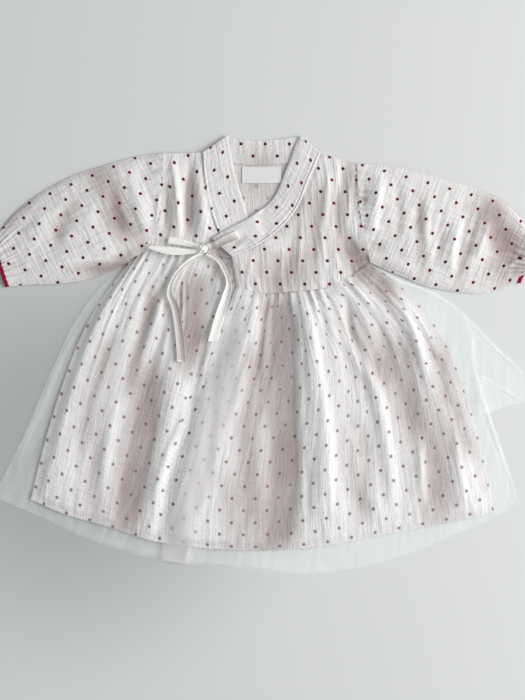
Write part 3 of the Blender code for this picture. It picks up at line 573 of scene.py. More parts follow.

# %% [markdown]
# ## Broad hollows
# Between the creases the cloth lies in hollows that are wide and shallow, a few centimetres across.
# They are in deep shade in the photograph, deeper than such dips give. So every hollow has a share
# of shade that its finish paints into the cloth's colour, and it sinks the cloth a little as well. A
# share below 0 is a broad swell, painted a little lighter.

# %% Broad hollows
HOLLOWS = [
    # The over skirt
    Crease([(12, 84), (14, 5), (15, -65), (19, -145), (16, -215)], 26, 1.0),
    Crease([(-8, 35), (-14, -45), (-16, -95), (-6, -165), (0, -235)], 25, 0.6),
    Crease([(-39, -95), (-34, -145), (-29, -225)], 24, 0.45),
    Crease([(86, 60), (101, 5), (131, -50)], 30, 0.4),
    Crease([(88, -60), (96, -125), (98, -185)], 16, 0.35),
    Crease([(118, 40), (144, -45), (168, -100), (178, -195)], 34, 0.6),
    Crease([(168, 40), (188, -45), (204, -125)], 26, 0.5),
    # The under skirt
    Crease([(-110, 88), (-118, 35), (-128, 0), (-142, -55)], 11, 0.8),
    Crease([(-112, 10), (-117, -50), (-127, -95), (-137, -145), (-145, -205)], 29, 0.9),
    Crease([(-162, -70), (-168, -125), (-170, -195)], 16, 0.5),
    Crease([(-150, 40), (-169, -45), (-182, -110)], 26, 0.35),
    Crease([(-66, 100), (-76, 50), (-75, 10), (-82, -35)], 24, 0.95),
    Crease([(-52, 122), (-43, 93), (-30, 58)], 15, 0.8),
    Crease([(-72, -15), (-90, -70), (-106, -130), (-112, -200)], 11, -0.6),
    # The bodice
    Crease([(-30, 88), (14, 84), (70, 84)], 32, 0.55),
    Crease([(72, 130), (98, 89), (121, 67), (140, 38)], 22, 0.95),
    Crease([(50, 190), (50, 130), (42, 75)], 34, 0.35),
    Crease([(71, 190), (72, 145), (76, 105)], 9, 0.3),
    Crease([(86, 212), (88, 175), (92, 130)], 12, 0.5),
    Crease([(-97, 200), (-97, 155), (-99, 105)], 9, 0.4),
    Crease([(-73, 205), (-74, 155), (-74, 105)], 11, 0.55),
    Crease([(-6, 222), (-4, 180), (-16, 140)], 38, 0.4),
    Crease([(-54, 205), (-46, 160), (-34, 112)], 13, -0.7),
    Crease([(-88, 204), (-87, 160), (-86, 112)], 6, -0.45),
    # The sleeves
    Crease([(-174, 215), (-156, 160), (-140, 130), (-106, 108)], 24, 0.65),
    Crease([(-196, 84), (-150, 87), (-118, 110)], 15, 0.85),
    Crease([(-210, 92), (-202, 130), (-184, 162)], 12, 0.35),
    Crease([(-134, 200), (-124, 165), (-112, 118)], 10, -0.5),
    Crease([(-236, 90), (-226, 125), (-206, 150)], 9, -0.4),
    Crease([(118, 196), (112, 165), (104, 118)], 10, -0.6),
    Crease([(200, 146), (192, 105), (186, 66)], 8, -0.5),
    Crease([(-222, 158), (-254, 140), (-268, 112)], 13, 0.45),
    Crease([(154, 180), (156, 120), (158, 60)], 11, 0.45),
    Crease([(205, 150), (198, 100), (190, 56)], 13, 0.5),
    Crease([(206, 176), (232, 132), (244, 105), (226, 56)], 32, 0.8),
]
HOLLOW_SINK = 1.8


def broad_hollow(x, y, seed):
    """The share of painted shade in the broad hollows, uneven as cloth is."""
    uneven = 1.0 + 0.15 * smooth_noise(x, y, 16, 40, seed + 7)
    return np.clip(crease_height(HOLLOWS, x, y) * uneven, RIDGE, 1.0)


print("broad hollows", len(HOLLOWS))

# %% [markdown]
# ## Making the mesh
# Every piece is a grid of points, one sheet thick. Where a rim shows, it is turned under as a real
# hem is, but the net is cut raw. The cloth place in steps of the dot pattern goes into a UV map, and
# what a finish needs to feel, such as how deep in a fold a point lies, goes into an attribute.

# %% Rims
FLOOR_LEAST = 0.03


def turned(grids, sides, roll=0.45, under=4.0, spacing=1.2):
    """Turn the rim of a grid under. grids are x, y, z, u, v and what is felt, sides t, b, l or r."""
    for side in sides:
        flip = side in "tl"
        across = side in "lr"
        work = [g.T if across else g for g in grids]
        work = [g[::-1] if flip else g for g in work]
        x, y, z, u, v = work[:5]
        inner = -1 - min(len(x) - 1, max(2, int(under / spacing)))
        run = np.hypot(x[-1] - x[-2], y[-1] - y[-2]) + 1e-9
        out_x, out_y, out_u, out_v = ((g[-1] - g[-2]) / run for g in (x, y, u, v))
        rings = [[x[-1] + out_x * out, y[-1] + out_y * out, z[-1] - drop, u[-1] + out_u * out,
                  v[-1] + out_v * out]
                 for out, drop in ((0.7 * roll, 0.35 * roll), (roll, roll), (0.7 * roll, 1.6 * roll))]
        rings.append([x[inner], y[inner], z[inner] - 2 * roll, u[-1] + out_u * under,
                      v[-1] + out_v * under])
        for ring in rings:
            ring[2] = np.maximum(ring[2], FLOOR_LEAST)
            ring.extend(g[-1] for g in work[5:])
        work = [np.vstack([g, *added]) for g, added in zip(work, zip(*rings))]
        work = [g[::-1] if flip else g for g in work]
        grids = [g.T if across else g for g in work]
    return grids

print("no rim goes below", FLOOR_LEAST, "mm")

# %% Objects from grids
def sheet_object(name, node, grids, finish, around=False, felt=()):
    """One object for a node from a grid of points. around joins the last column to the first.

    felt names the grids past the first five, which become attributes of the points.
    """
    x, y, z, u, v = grids[:5]
    rows, columns = x.shape
    points = np.stack([x, y, z], -1).reshape(-1, 3) * MM
    index = np.arange(rows * columns).reshape(rows, columns)
    right = np.roll(index, -1, axis=1) if around else index[:, 1:]
    left = index if around else index[:, :-1]
    quads = np.stack([left[:-1], left[1:], right[1:], right[:-1]], -1).reshape(-1, 4)
    mesh = bpy.data.meshes.new(name)
    mesh.from_pydata(points.tolist(), [], quads.tolist())
    places = np.stack([u, v], -1)
    corners = places.reshape(-1, 2)[quads.reshape(-1)]
    if around:
        # The last column's right side continues the cloth instead of running back to the first
        width = np.broadcast_to(2 * places[:, -1:] - places[:, -2:-1], (rows, 1, 2))
        shaped = corners.reshape(rows - 1, columns, 4, 2)
        shaped[:, -1, 2] = width[1:, 0]
        shaped[:, -1, 3] = width[:-1, 0]
        corners = shaped.reshape(-1, 2)
    mesh.uv_layers.new(name="cloth").data.foreach_set("uv", corners.astype(np.float32).ravel())
    for key, value in zip(felt, grids[5:]):
        mesh.attributes.new(key, "FLOAT", "POINT").data.foreach_set(
            "value", value.astype(np.float32).ravel())
    mesh.materials.append(finish.material)
    mesh.shade_smooth()
    piece = add_object(name, mesh)
    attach(piece, "root")
    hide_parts(node)
    return piece

print("objects ride on the root and replace one node each")

# %% Sizes of the sheets
def surface_area(x, y, z):
    """Area of a grid of points in square millimetres."""
    p = np.stack([x, y, z], -1)
    one = np.cross(p[1:, :-1] - p[:-1, :-1], p[:-1, 1:] - p[:-1, :-1])
    two = np.cross(p[1:, :-1] - p[1:, 1:], p[:-1, 1:] - p[1:, 1:])
    return 0.5 * (np.linalg.norm(one, axis=-1).sum() + np.linalg.norm(two, axis=-1).sum())


sheet_sizes = {}
LEAST_SIDE = 10.0


def spans(x, y):
    """Distances between the neighbouring points of a grid, across and down."""
    return [np.hypot(np.diff(x, axis=axis), np.diff(y, axis=axis)) for axis in (1, 0)]


def added_up(steps, axis):
    """Distances of a grid's points from its first row or column."""
    return np.cumsum(np.insert(steps, 0, 0.0, axis=axis), axis=axis)


def declare(piece, grids):
    """State the flat size of what shows, measured along the laid cloth."""
    x, y, z = grids[:3]
    steps, drops = spans(x, y)
    wide = max(np.hypot(steps, np.diff(z, axis=1)).sum(1).max(), LEAST_SIDE)
    long = max(np.hypot(drops, np.diff(z, axis=0)).sum(0).max(), LEAST_SIDE)
    area = min(surface_area(x, y, z), wide * long)
    sheet_sizes[piece.name] = (round(wide), round(long), round(area / 100))
    print(piece.name, "mm, mm, cm2:", sheet_sizes[piece.name], "faces", len(piece.data.polygons))


def make_sheet(name, node, shown, finish, felt=(), around=False, flat=None):
    """A piece of one sheet of cloth. flat is its grid without the turned rims, which is measured."""
    piece = sheet_object(name, node, shown, finish, around, felt)
    declare(piece, flat or shown)


def lay_cloth(node, grids, felt, finish, held, rests_on, **rims):
    """Lay a cloth on the stack and make it. felt is what its points carry, rims how they turn."""
    stack.lay(node, *grids[:3])
    shown = turned(grids + list(felt.values()), **rims)
    make_sheet("cloth_" + node, node, shown, finish, list(felt), flat=grids)

print("least side of a sheet", LEAST_SIDE, "mm")

# %% Depth in the folds
# How far around a point its surroundings are taken, and what they count
SURROUNDINGS = ((3.0, 0.14), (12.0, 0.08))
FOLD_SHARE, FOLD_SOFT = 0.05, 3.5
RIM_FADE = 14.0


def hollowness(z, folds, broad, from_rim):
    """How deep a point lies in its fold and below the cloth around it. A ridge is below 0.

    The finish paints shade by this depth, and a ridge a little lighter. A rim is low as well, but light
    reaches it, so the sums fade towards it.
    """
    near = sum(share * (blur(z, reach) - z) for reach, share in SURROUNDINGS)
    near = near - FOLD_SHARE * blur(folds, FOLD_SOFT)
    return np.clip(near * ease(from_rim / RIM_FADE) + broad, RIDGE, 1.0)


def fine_grid(place, spacing):
    """Even steps across and down that give cells of about a spacing."""
    steps, drops = spans(*place(np.linspace(0, 1, 24), np.linspace(0, 1, 24)))
    return [np.linspace(0, 1, int(length / spacing) + 2)
            for length in (steps.sum(1).max(), drops.sum(0).max())]


print("surroundings, mm and share:", SURROUNDINGS)

# %% [markdown]
# ## Where the threads run
# The dots show how the cloth lies. For each piece the photograph gives one dot and the way to the
# next dot across and down, and that is enough to place the whole pattern on a piece without
# gathers.

# %% Thread directions
Grain = namedtuple("Grain", "dot across down", defaults=((DOT_STEP, 0.0), (0.0, -DOT_STEP)))
GRAINS = {
    "bodice_front_over": Grain((36.5, 117.5), (24.7, 0.0), (2.2, -23.2)),
    "bodice_front_under": Grain((-72.1, 159.9), (22.4, -8.8), (-4.7, -24.0)),
    "sleeve_left": Grain((-198.4, 155.6), (21.2, 9.1), (11.2, -21.5)),
    "sleeve_right": Grain((155.4, 150.1), (21.8, -6.0), (-8.8, -22.5)),
    "bodice_back": Grain((-8.0, 170.0)),
    "collar_back": Grain((-11.0, 200.0)),
    "skirt_back": Grain((0.0, 0.0)),
    "net_back": Grain((0.0, 0.0)),
}


def cloth_place(grain, x, y):
    """Place on the cloth, in steps of the dot pattern, from the direction of the threads."""
    (ax, ay), (bx, by) = grain.across, grain.down
    dx, dy = x - grain.dot[0], y - grain.dot[1]
    turn = ax * by - ay * bx
    return (dx * by - dy * bx) / turn + 0.5, (ax * dy - ay * dx) / turn + 0.5


print("grains of", sorted(GRAINS))

# %% [markdown]
# ## The table of edges
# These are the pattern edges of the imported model, in millimetres.

# %% Edges of the dress
WAIST_UNDER = [(-136, 93), (-116, 105), (-74, 102), (-29, 96), (-2, 93)]
WAIST_OVER = [(-27, 68), (-2, 62), (32, 64), (66, 69), (86, 79), (106, 93)]
WAIST_BACK = [(-136, 93), (-15, 84), (106, 93)]
ARMHOLE_LEFT = [(-101, 202), (-101, 165), (-106, 130), (-121, 107), (-136, 93)]
UNDERARM_LEFT = (-130, 98)
ARMHOLE_RIGHT = [(93, 192), (94, 161), (98, 130), (103, 107), (106, 93)]
NECK_BACK = [(-61, 203), (-46, 196), (-24, 192), (10, 192), (36, 195), (56, 202)]
COLLAR_TOP = [(-37, 219.8), (-18, 216), (10, 216), (36, 219.8)]
SEAM_UNDER = [(-61, 203), (-59, 178), (-52, 143), (-45, 123), (-28, 96)]
FREE_UNDER = [(-37, 219.8), (-29, 181), (-17, 140), (-2, 95)]
SEAM_OVER = [(56, 202), (44, 175), (33, 148), (16, 127), (-9, 109), (-32, 99)]
FREE_OVER = [(36, 219.8), (23, 187), (8, 155), (-12, 139), (-31, 129), (-52, 117)]
HEM = [(-234, -145), (-204, -158), (-164, -170), (-104, -188), (-24, -196), (56, -192),
       (126, -179), (196, -166), (231, -158)]
SIDE_LEFT = [(-136, 93), (-173, 40), (-204, -35), (-222, -95), (-234, -145)]
SIDE_RIGHT = [(106, 93), (141, 65), (171, 30), (204, -45), (220, -105), (231, -158)]
WRAP_EDGE = [(-27, 68), (-52, 10), (-79, -45), (-92, -85), (-104, -125), (-110, -187)]
UNDER_LAP = [(-2, 93), (-30, -60), (-50, -193)]
NET_SIDE_LEFT = [(-136, 91), (-154, 78), (-184, 43), (-214, -17), (-242, -82), (-272, -142)]
NET_HEM_LEFT = [(-272, -142), (-234, -159), (-164, -190), (-102, -206), (-60, -209)]
NET_LAP = [(-2, 93), (-36, -60), (-60, -209)]
NET_WRAP = [(-27, 68), (-48, 15), (-61, -45), (-74, -95), (-86, -140), (-101, -185),
            (-104, -206)]
NET_HEM_RIGHT = [(-104, -206), (-76, -210), (-24, -211), (36, -220), (86, -216), (136, -202),
                 (196, -179), (258, -150)]
NET_SIDE_RIGHT = [(106, 91), (136, 76), (176, 60), (205, 38), (214, -15), (236, -85), (258, -150)]
NET_FLAP = [(106, 91), (136, 76), (176, 60), (205, 38), (236, 6), (261, -18), (274, -38),
            (262, -47), (216, -20), (224, -70), (244, -120), (250, -150)]
NET_HEM_BACK = [(250, -150), (196, -177), (116, -208), (36, -219), (-60, -207), (-150, -190),
                (-234, -156), (-270, -140)]
SHOULDER_LEFT = [(-101, 202), (-61, 203)]
SHOULDER_RIGHT = [(56, 202), (93, 192)]
SLEEVE_LEFT_UPPER = [(-101, 202), (-124, 200), (-154, 192), (-189, 181), (-222, 164), (-249, 144),
                     (-271, 118)]
SLEEVE_LEFT_LOWER = [(-136, 93), (-152, 85), (-179, 76), (-204, 72), (-230, 71), (-256, 69)]
SLEEVE_RIGHT_UPPER = [(93, 192), (121, 191), (151, 185), (183, 176), (216, 167), (244, 152),
                      (271, 121)]
SLEEVE_RIGHT_LOWER = [(106, 93), (136, 80), (164, 69), (191, 64), (218, 62), (241, 67), (254, 73)]
print("edges are ready")

# %% [markdown]
# ## The back
# The back of the dress lies flat on the table, with the net skirt under the gauze one. Little of it
# shows: the inside of the neck, and the net that spreads past the gauze on the right.

# %% Back of the dress
FLAT_SINK = 0.3


def lay_flat(node, place, spacing, finish, seed, relief=0.15, creases=(), sides="tblr"):
    """A piece that lies flat. relief is the strength of its crinkle, sides its turned rims."""
    across, down = fine_grid(place, spacing)
    x, y = place(across, down)
    u, v = cloth_place(GRAINS[node], x, y)
    z = settled(node, place, across, down, 2.0)
    folds = crease_height(creases, x, y)
    z = z - FLAT_SINK + folds + relief * crinkle(u * DOT_STEP, v * DOT_STEP, seed)
    lay_cloth(node, [x, y, z, u, v], {"folded": folds, "hollow": broad_hollow(x, y, seed)}, finish,
              "laid", ["floor"], sides=sides, roll=0.3, spacing=spacing)


NET_BACK_EDGES = [
    Crease([(206, 37), (236, 5), (261, -18), (274, -36)], 2.5, 0.8),
    Crease([(196, 60), (232, -8), (262, -40), (290, -60)], 26, 0.4),
    Crease([(214, 10), (226, -60), (248, -150), (260, -190)], 16, 0.25),
    Crease([(216, -20), (240, -34), (264, -48)], 2.5, 0.7),
]
net_back_place = panel(WAIST_BACK, NET_HEM_BACK[::-1], NET_SIDE_LEFT, NET_FLAP)
lay_flat("net_back", net_back_place, 2.4, net, 11, creases=NET_BACK_EDGES, sides="")
skirt_back_place = panel(WAIST_BACK, HEM, SIDE_LEFT, SIDE_RIGHT)
lay_flat("skirt_back", skirt_back_place, 2.5, gauze, 12)
back_top = (SHOULDER_LEFT, NECK_BACK, SHOULDER_RIGHT)
bodice_back_place = panel(back_top, WAIST_BACK, ARMHOLE_LEFT, ARMHOLE_RIGHT)
lay_flat("bodice_back", bodice_back_place, 1.5, inside_gauze, 13, 0.6)
collar_back_place = panel(COLLAR_TOP, NECK_BACK, [COLLAR_TOP[0], NECK_BACK[0]],
                          [COLLAR_TOP[-1], NECK_BACK[-1]])
lay_flat("collar_back", collar_back_place, 1.0, gauze, 14, 0.9)

# %% [markdown]
# ## The sleeves
# A puffed sleeve is a tube that lies flat. Its upper side bulges, its lower side lies on the table,
# and gathers run out from the armhole and from the cuff. It is one closed loop of points at every
# step along the arm, with the points closer together at its two side folds.

# %% Creases of the sleeves
SLEEVE_CREASES = {
    "left": [
        Crease([(-131, 199), (-133, 175), (-124, 140), (-113, 104)], 9, 2.0, 0.2),
        Crease([(-152, 186), (-149, 145), (-136, 112)], 9, -1.9),
        Crease([(-122, 199), (-114, 184), (-102, 190)], 5, -1.7),
        Crease([(-118, 196), (-108, 186)], 1.6, 0.9),
        Crease([(-113, 199), (-104, 190)], 1.6, 0.9),
        Crease([(-104, 168), (-106, 150), (-109, 124)], 3.5, 1.4),
        Crease([(-234, 82), (-204, 91), (-174, 95), (-138, 94), (-118, 101)], 4, 1.7, 0.2),
        Crease([(-226, 79), (-184, 86), (-139, 86)], 5, -2.0),
        Crease([(-186, 174), (-202, 130), (-222, 98)], 13, -1.1),
        Crease([(-166, 168), (-176, 120)], 10, 0.9),
        Crease([(-212, 160), (-234, 122)], 9, 0.9),
    ],
    "right": [
        Crease([(121, 190), (113, 155), (106, 110)], 10, 2.6, -0.2),
        Crease([(98, 184), (100, 160), (99, 138)], 5, -1.7),
        Crease([(132, 184), (135, 140), (130, 102)], 7, -1.5),
        Crease([(168, 168), (162, 130), (166, 88)], 6, 1.5),
        Crease([(157, 160), (152, 120)], 5, -1.3),
        Crease([(204, 146), (190, 115), (186, 76)], 7, 2.4, -0.2),
        Crease([(180, 150), (175, 112), (172, 78)], 7, -1.9),
        Crease([(229, 142), (220, 117), (209, 90)], 5, 1.9),
        Crease([(216, 150), (207, 115), (199, 84)], 6, -1.9),
        Crease([(222, 136), (240, 114), (262, 100)], 20, -3.6),
        Crease([(236, 84), (250, 92), (262, 98)], 3.5, 1.6),
        Crease([(116, 98), (138, 89), (160, 73)], 9, 1.9),
        Crease([(96, 104), (112, 108), (124, 104)], 10, -3.0),
    ],
}
print("creases on the sleeves", {side: len(rows) for side, rows in SLEEVE_CREASES.items()})

# %% Armholes
SEAM_SIDES = 9.0


def armhole_levels(side, sleeve, bodice, armhole):
    """Height of the armhole's seam at even steps down it, midway between what it joins."""
    marks = np.linspace(0, 1, 24)
    spots = edge(armhole)(marks)
    levels = 0.5 * (solid_height(sleeve, spots[:, 0] + side * SEAM_SIDES, spots[:, 1])
                    + solid_height(bodice, spots[:, 0] - side * SEAM_SIDES, spots[:, 1]))
    return marks, blur_line(levels, 1.5)


ARMHOLES = {"left": armhole_levels(-1, "sleeve_left", "bodice_front_under", ARMHOLE_LEFT),
            "right": armhole_levels(1, "sleeve_right", "bodice_front_over", ARMHOLE_RIGHT)}
print("armhole levels, mm:", {side: [round(level, 1) for level in (levels.min(), levels.max())]
                              for side, (_, levels) in ARMHOLES.items()})

# %% Gathers
Gathers = namedtuple("Gathers", "count rise fade")
WRIST_GATHERS, CAP_GATHERS = Gathers(17, 2.0, 40), Gathers(16, 1.3, 26)


def gather_waves(gathers, along_edge, from_edge, seed):
    """Small uneven gathers that start at an edge and die away. from_edge is a distance."""
    count, rise, fade = gathers
    pick = np.random.default_rng(seed)
    total = np.zeros(np.broadcast(along_edge, from_edge).shape)
    for k in range(count):
        centre = (k + 0.5 + pick.uniform(-0.3, 0.3)) / count
        width = pick.uniform(0.22, 0.42) / count
        length = fade * pick.uniform(0.5, 1.3)
        height = rise * pick.uniform(0.5, 1.2) * pick.choice([1.0, 1.0, -0.8])
        sway = pick.uniform(-0.4, 0.4) / count
        offset = (along_edge - centre - sway * from_edge / fade) / width
        total = total + height * np.exp(-offset ** 2) * np.clip(1 - from_edge / length, 0, 1) ** 1.3
    return total


print("gathers", WRIST_GATHERS, CAP_GATHERS)

# %% Lay the sleeves
SLEEVE_LENGTH = 165.0
SEAM_REACH = 16.0
UPPER_POINTS, LOWER_POINTS, ARM_STEPS = 118, 34, 150
LEAST_PUFF = 1.1
UNDERSIDE_SHIFT = 7.3
WRIST_SPILL = {"left": 0.0, "right": 4.0}
# How far out each ring of the edging lies, and its size against the wrist's loop
EDGING_RINGS = ((0.2, 1.0), (0.5, 1.07), (1.6, 1.12), (2.8, 1.1), (3.7, 1.0), (4.0, 0.85), (3.6, 0.7),
                (2.0, 0.65))


def lay_sleeve(side, upper, lower, armhole, seed):
    node = "sleeve_" + side
    wrist = [lower[-1], upper[-1]]
    place = panel(armhole[::-1], wrist, lower, upper)
    above = 0.5 - 0.5 * np.cos(np.linspace(0, math.pi, UPPER_POINTS))
    along = np.linspace(0.002, 1.0, ARM_STEPS)
    x, y = place(above, along)
    coarse = settled(node, place, above, along, 2.0)
    grain = GRAINS[node]
    u, v = cloth_place(grain, x, y)
    length = SLEEVE_LENGTH * along[:, None]
    near_seam = 1 - ease(length / SEAM_REACH)
    seam_level = np.interp(1 - above, *ARMHOLES[side])[None, :]
    coarse = coarse * (1 - near_seam) + seam_level * near_seam
    bulge = (1 - (2 * above[None, :] - 1) ** 2) ** 0.5
    folds = 0.8 * crease_height(SLEEVE_CREASES[side], x, y)
    relief = folds + gather_waves(WRIST_GATHERS, above[None, :], SLEEVE_LENGTH - length, seed)
    relief += gather_waves(CAP_GATHERS, above[None, :] ** 2, length, seed + 1)
    relief += 1.15 * crinkle(u * DOT_STEP, v * DOT_STEP, seed + 2, 0.36)
    broad = broad_hollow(x, y, seed)
    z = np.maximum(coarse + (relief - HOLLOW_SINK * broad) * bulge, LEAST_PUFF)
    below = np.linspace(1, 0, LOWER_POINTS)[1:-1]
    lower_x, lower_y = place(below, along)
    lower_u, lower_v = cloth_place(grain, lower_x, lower_y)
    lower_z = 0.25 + 0.12 * smooth_noise(lower_x, lower_y, 5, 12, seed)
    grids = [np.hstack([x, lower_x]), np.hstack([y, lower_y]), np.hstack([z, lower_z]),
             np.hstack([u, lower_u + UNDERSIDE_SHIFT]), np.hstack([v, lower_v])]
    from_rim = 90.0 * np.minimum(above, 1 - above)[None, :] + 0 * x
    hollow = np.hstack([hollowness(z, folds, broad, from_rim), np.zeros(lower_x.shape)])
    slope = np.array(upper[-1], float) - np.array(lower[-1], float)
    outward = np.array([slope[1], -slope[0]]) / np.hypot(*slope)
    outward *= math.copysign(1.0, outward[0] * upper[-1][0])
    # The gathers at the wrist spill over the upper part of the edging
    up = np.concatenate([above, below])[None, :]
    spill = WRIST_SPILL[side] * ease((along[:, None] - 0.93) / 0.07) * ease((up - 0.09) / 0.12)
    spilled = [grids[0] + outward[0] * spill, grids[1] + outward[1] * spill, grids[2] + 0.5 * spill]
    make_sheet("cloth_" + node, node, spilled + grids[3:] + [hollow], gauze,
               ["hollow"], around=True, flat=grids)
    stack.lay(node, x, y, z)

    # The edging binds the wrist: the same loop of points, carried outward over a rounded rim
    ring_x, ring_y, ring_z = (g[-1] for g in grids[:3])
    middle = 0.5 * (ring_z.max() + 0.2)
    out, grow = (np.array(column)[:, None] for column in zip(*EDGING_RINGS))
    rx, ry = ring_x + outward[0] * out, ring_y + outward[1] * out
    rz = np.maximum(0.1, middle + (ring_z - middle) * grow)
    run = np.cumsum(np.hypot(np.diff(ring_x, append=ring_x[0]), np.diff(ring_y, append=ring_y[0])))
    ru = np.broadcast_to(run / DOT_STEP, rx.shape)
    rv = np.broadcast_to(np.arange(len(rx))[:, None] * 0.05, rx.shape)
    node = "edging_" + side
    make_sheet("cloth_" + node, node, [rx, ry, rz, ru, rv], edging, around=True)
    stack.lay(node, rx, ry, rz)


lay_sleeve("left", SLEEVE_LEFT_UPPER, SLEEVE_LEFT_LOWER, ARMHOLE_LEFT, 21)
lay_sleeve("right", SLEEVE_RIGHT_UPPER, SLEEVE_RIGHT_LOWER, ARMHOLE_RIGHT, 31)

# %% [markdown]
# ## The label
# A small woven label is sewn inside the back neck. It is bare here, and a little thicker at its
# turned edges.

# %% Label
LABEL_CENTRE = (-2.5, 181.0)
LABEL_SIZE = (39.0, 16.0)
LABEL_RIM = 0.9
LABEL_LEVEL = 1.75


def lay_label():
    across, down = np.meshgrid(np.linspace(-0.5, 0.5, 64), np.linspace(0.5, -0.5, 28))
    x, y = LABEL_CENTRE[0] + LABEL_SIZE[0] * across, LABEL_CENTRE[1] + LABEL_SIZE[1] * down
    rim = np.maximum(np.abs(across) * LABEL_SIZE[0] - LABEL_SIZE[0] / 2 + LABEL_RIM,
                     np.abs(down) * LABEL_SIZE[1] - LABEL_SIZE[1] / 2 + LABEL_RIM)
    z = LABEL_LEVEL + 0.12 * smooth_noise(x, y, 9, 14, 5) + 0.08 * ease(rim / 0.6)
    lay_cloth("neck_label", [x, y, z, x / DOT_STEP, y / DOT_STEP], {}, label, "laid",
              ["cloth_bodice_back"], sides="tblr", roll=0.2, under=1.0, spacing=0.6)


lay_label()

# %% [markdown]
# ## The bodice fronts
# Each front is one piece from shoulder to waist. It dips into the seams at its edges and puckers
# along them, and creases run down from the shoulder and out from the waist.

# %% Creases of the bodice
BODICE_CREASES = {
    "bodice_front_over": [
        Crease([(79, 194), (76, 170), (73, 150), (72, 108)], 6, -2.0, 0.2),
        Crease([(78, 126), (87, 105), (99, 94), (116, 88)], 10, -3.4),
        Crease([(66, 192), (62, 150), (58, 112)], 6, 1.4),
        Crease([(88, 192), (86, 160), (84, 128)], 5, 1.3),
        Crease([(53, 146), (58, 115), (62, 80)], 4, 1.1),
        Crease([(46, 158), (49, 120), (52, 78)], 4, -0.6),
        Crease([(37, 140), (36, 105), (33, 74)], 4, 1.1),
        Crease([(20, 120), (18, 95), (17, 70)], 4, 1.0),
        Crease([(28, 125), (26, 98), (25, 72)], 3.5, -0.9),
        Crease([(72, 110), (74, 92), (78, 78)], 4, 1.2),
        Crease([(-12, 106), (-14, 88), (-16, 72)], 4, 0.9),
    ],
    "bodice_front_under": [
        Crease([(-93, 203), (-88, 168), (-83, 114)], 5.5, 2.2, 0.2),
        Crease([(-75, 201), (-77, 155), (-76, 112)], 7, -2.2),
        Crease([(-99, 180), (-99, 150), (-101, 118)], 4, -1.6),
        Crease([(-104, 172), (-106, 150), (-109, 124)], 3.5, 1.4),
        Crease([(-64, 178), (-62, 150), (-60, 114)], 7, 1.6),
    ],
}
print("creases on the bodice", {node: len(rows) for node, rows in BODICE_CREASES.items()})

# %% Lay a bodice front
waist_rims = {}
SEAM_LAP = 1.1
SEAM_RISE = 0.2
ARMHOLE_GATHERS, WAIST_GATHERS = Gathers(14, 0.6, 9), Gathers(22, 1.0, 20)
BODICE_GRID = 1.0


def lay_bodice(node, place, side, beside, seed):
    """beside names the pieces that it is sewn to, which it may touch."""
    across, down = fine_grid(place, BODICE_GRID)
    x, y = place(across, down)
    u, v = cloth_place(GRAINS[node], x, y)
    wide = np.hypot(x[:, -1] - x[:, 0], y[:, -1] - y[:, 0])[:, None]
    long = np.hypot(x[-1] - x[0], y[-1] - y[0])[None, :]
    from_armhole = (across if side == "left" else 1 - across)[None, :] * wide
    from_collar = wide - from_armhole
    from_end = np.minimum(down[:, None], 1 - down[:, None]) * long
    from_waist = (1 - down[:, None]) * long
    near_seam = 1 - ease(from_armhole / SEAM_REACH)
    seam_level = np.interp(down, *ARMHOLES[side])[:, None]
    z = settled(node, place, across, down) * (1 - near_seam) + seam_level * near_seam
    folds = 0.8 * crease_height(BODICE_CREASES[node], x, y)
    relief = folds + crinkle(u * DOT_STEP, v * DOT_STEP, seed)
    relief += gather_waves(ARMHOLE_GATHERS, down[:, None], from_armhole, seed + 1)
    relief += gather_waves(WAIST_GATHERS, across[None, :], from_waist, seed + 2)
    relief -= 0.5 * np.exp(-(from_collar / 1.6) ** 2)
    broad = broad_hollow(x, y, seed)
    z = kept_above(z + (relief - HOLLOW_SINK * broad) * ease(from_end / 3 + 0.4), x, y, beside)
    # The armhole's seam is closed: the front reaches a little over the sleeve's end
    lap = 1 - ease(from_armhole / 3)
    x = x + SEAM_LAP * lap * (-1 if side == "left" else 1)
    z = z + SEAM_RISE * lap
    waist_rims[node] = z[-1]
    from_rim = np.minimum(np.minimum(from_armhole, from_collar), from_end)
    # The waist and the armhole are sewn flat to their neighbours, so only the other rims are turned
    rims = "tr" if side == "left" else "tl"
    lay_cloth(node, [x, y, z, u, v], {"hollow": hollowness(z, folds, broad, from_rim)}, gauze, "laid",
              ["cloth_bodice_back"], sides=rims, roll=0.4)


under_place = panel(SHOULDER_LEFT, [UNDERARM_LEFT] + WAIST_UNDER[1:-1],
                    ARMHOLE_LEFT[:-1] + [UNDERARM_LEFT], SEAM_UNDER)
lay_bodice("bodice_front_under", under_place, "left", ["sleeve_left", "edging_left"], 41)

# %% [markdown]
# ## The collar bands
# Each band is a folded strip, plump in its middle, with two rows of stitching beside its seam. Its
# dots run along it in two rows, so its place on the cloth is measured along and across the band.

# %% Collar bands
COLLAR_CREASES = {
    "collar_over": [
        Crease([(-14, 122), (-24, 116), (-36, 110)], 5, -1.4),
        Crease([(-22, 125), (-32, 120), (-46, 112)], 4, 1.1),
        Crease([(-16, 112), (-28, 107), (-42, 104)], 4, 0.9),
    ],
    "collar_under": [],
}


FIRST_ROW = 8.0
STITCH_LINE = 2.3
COLLAR_GRID = 0.7


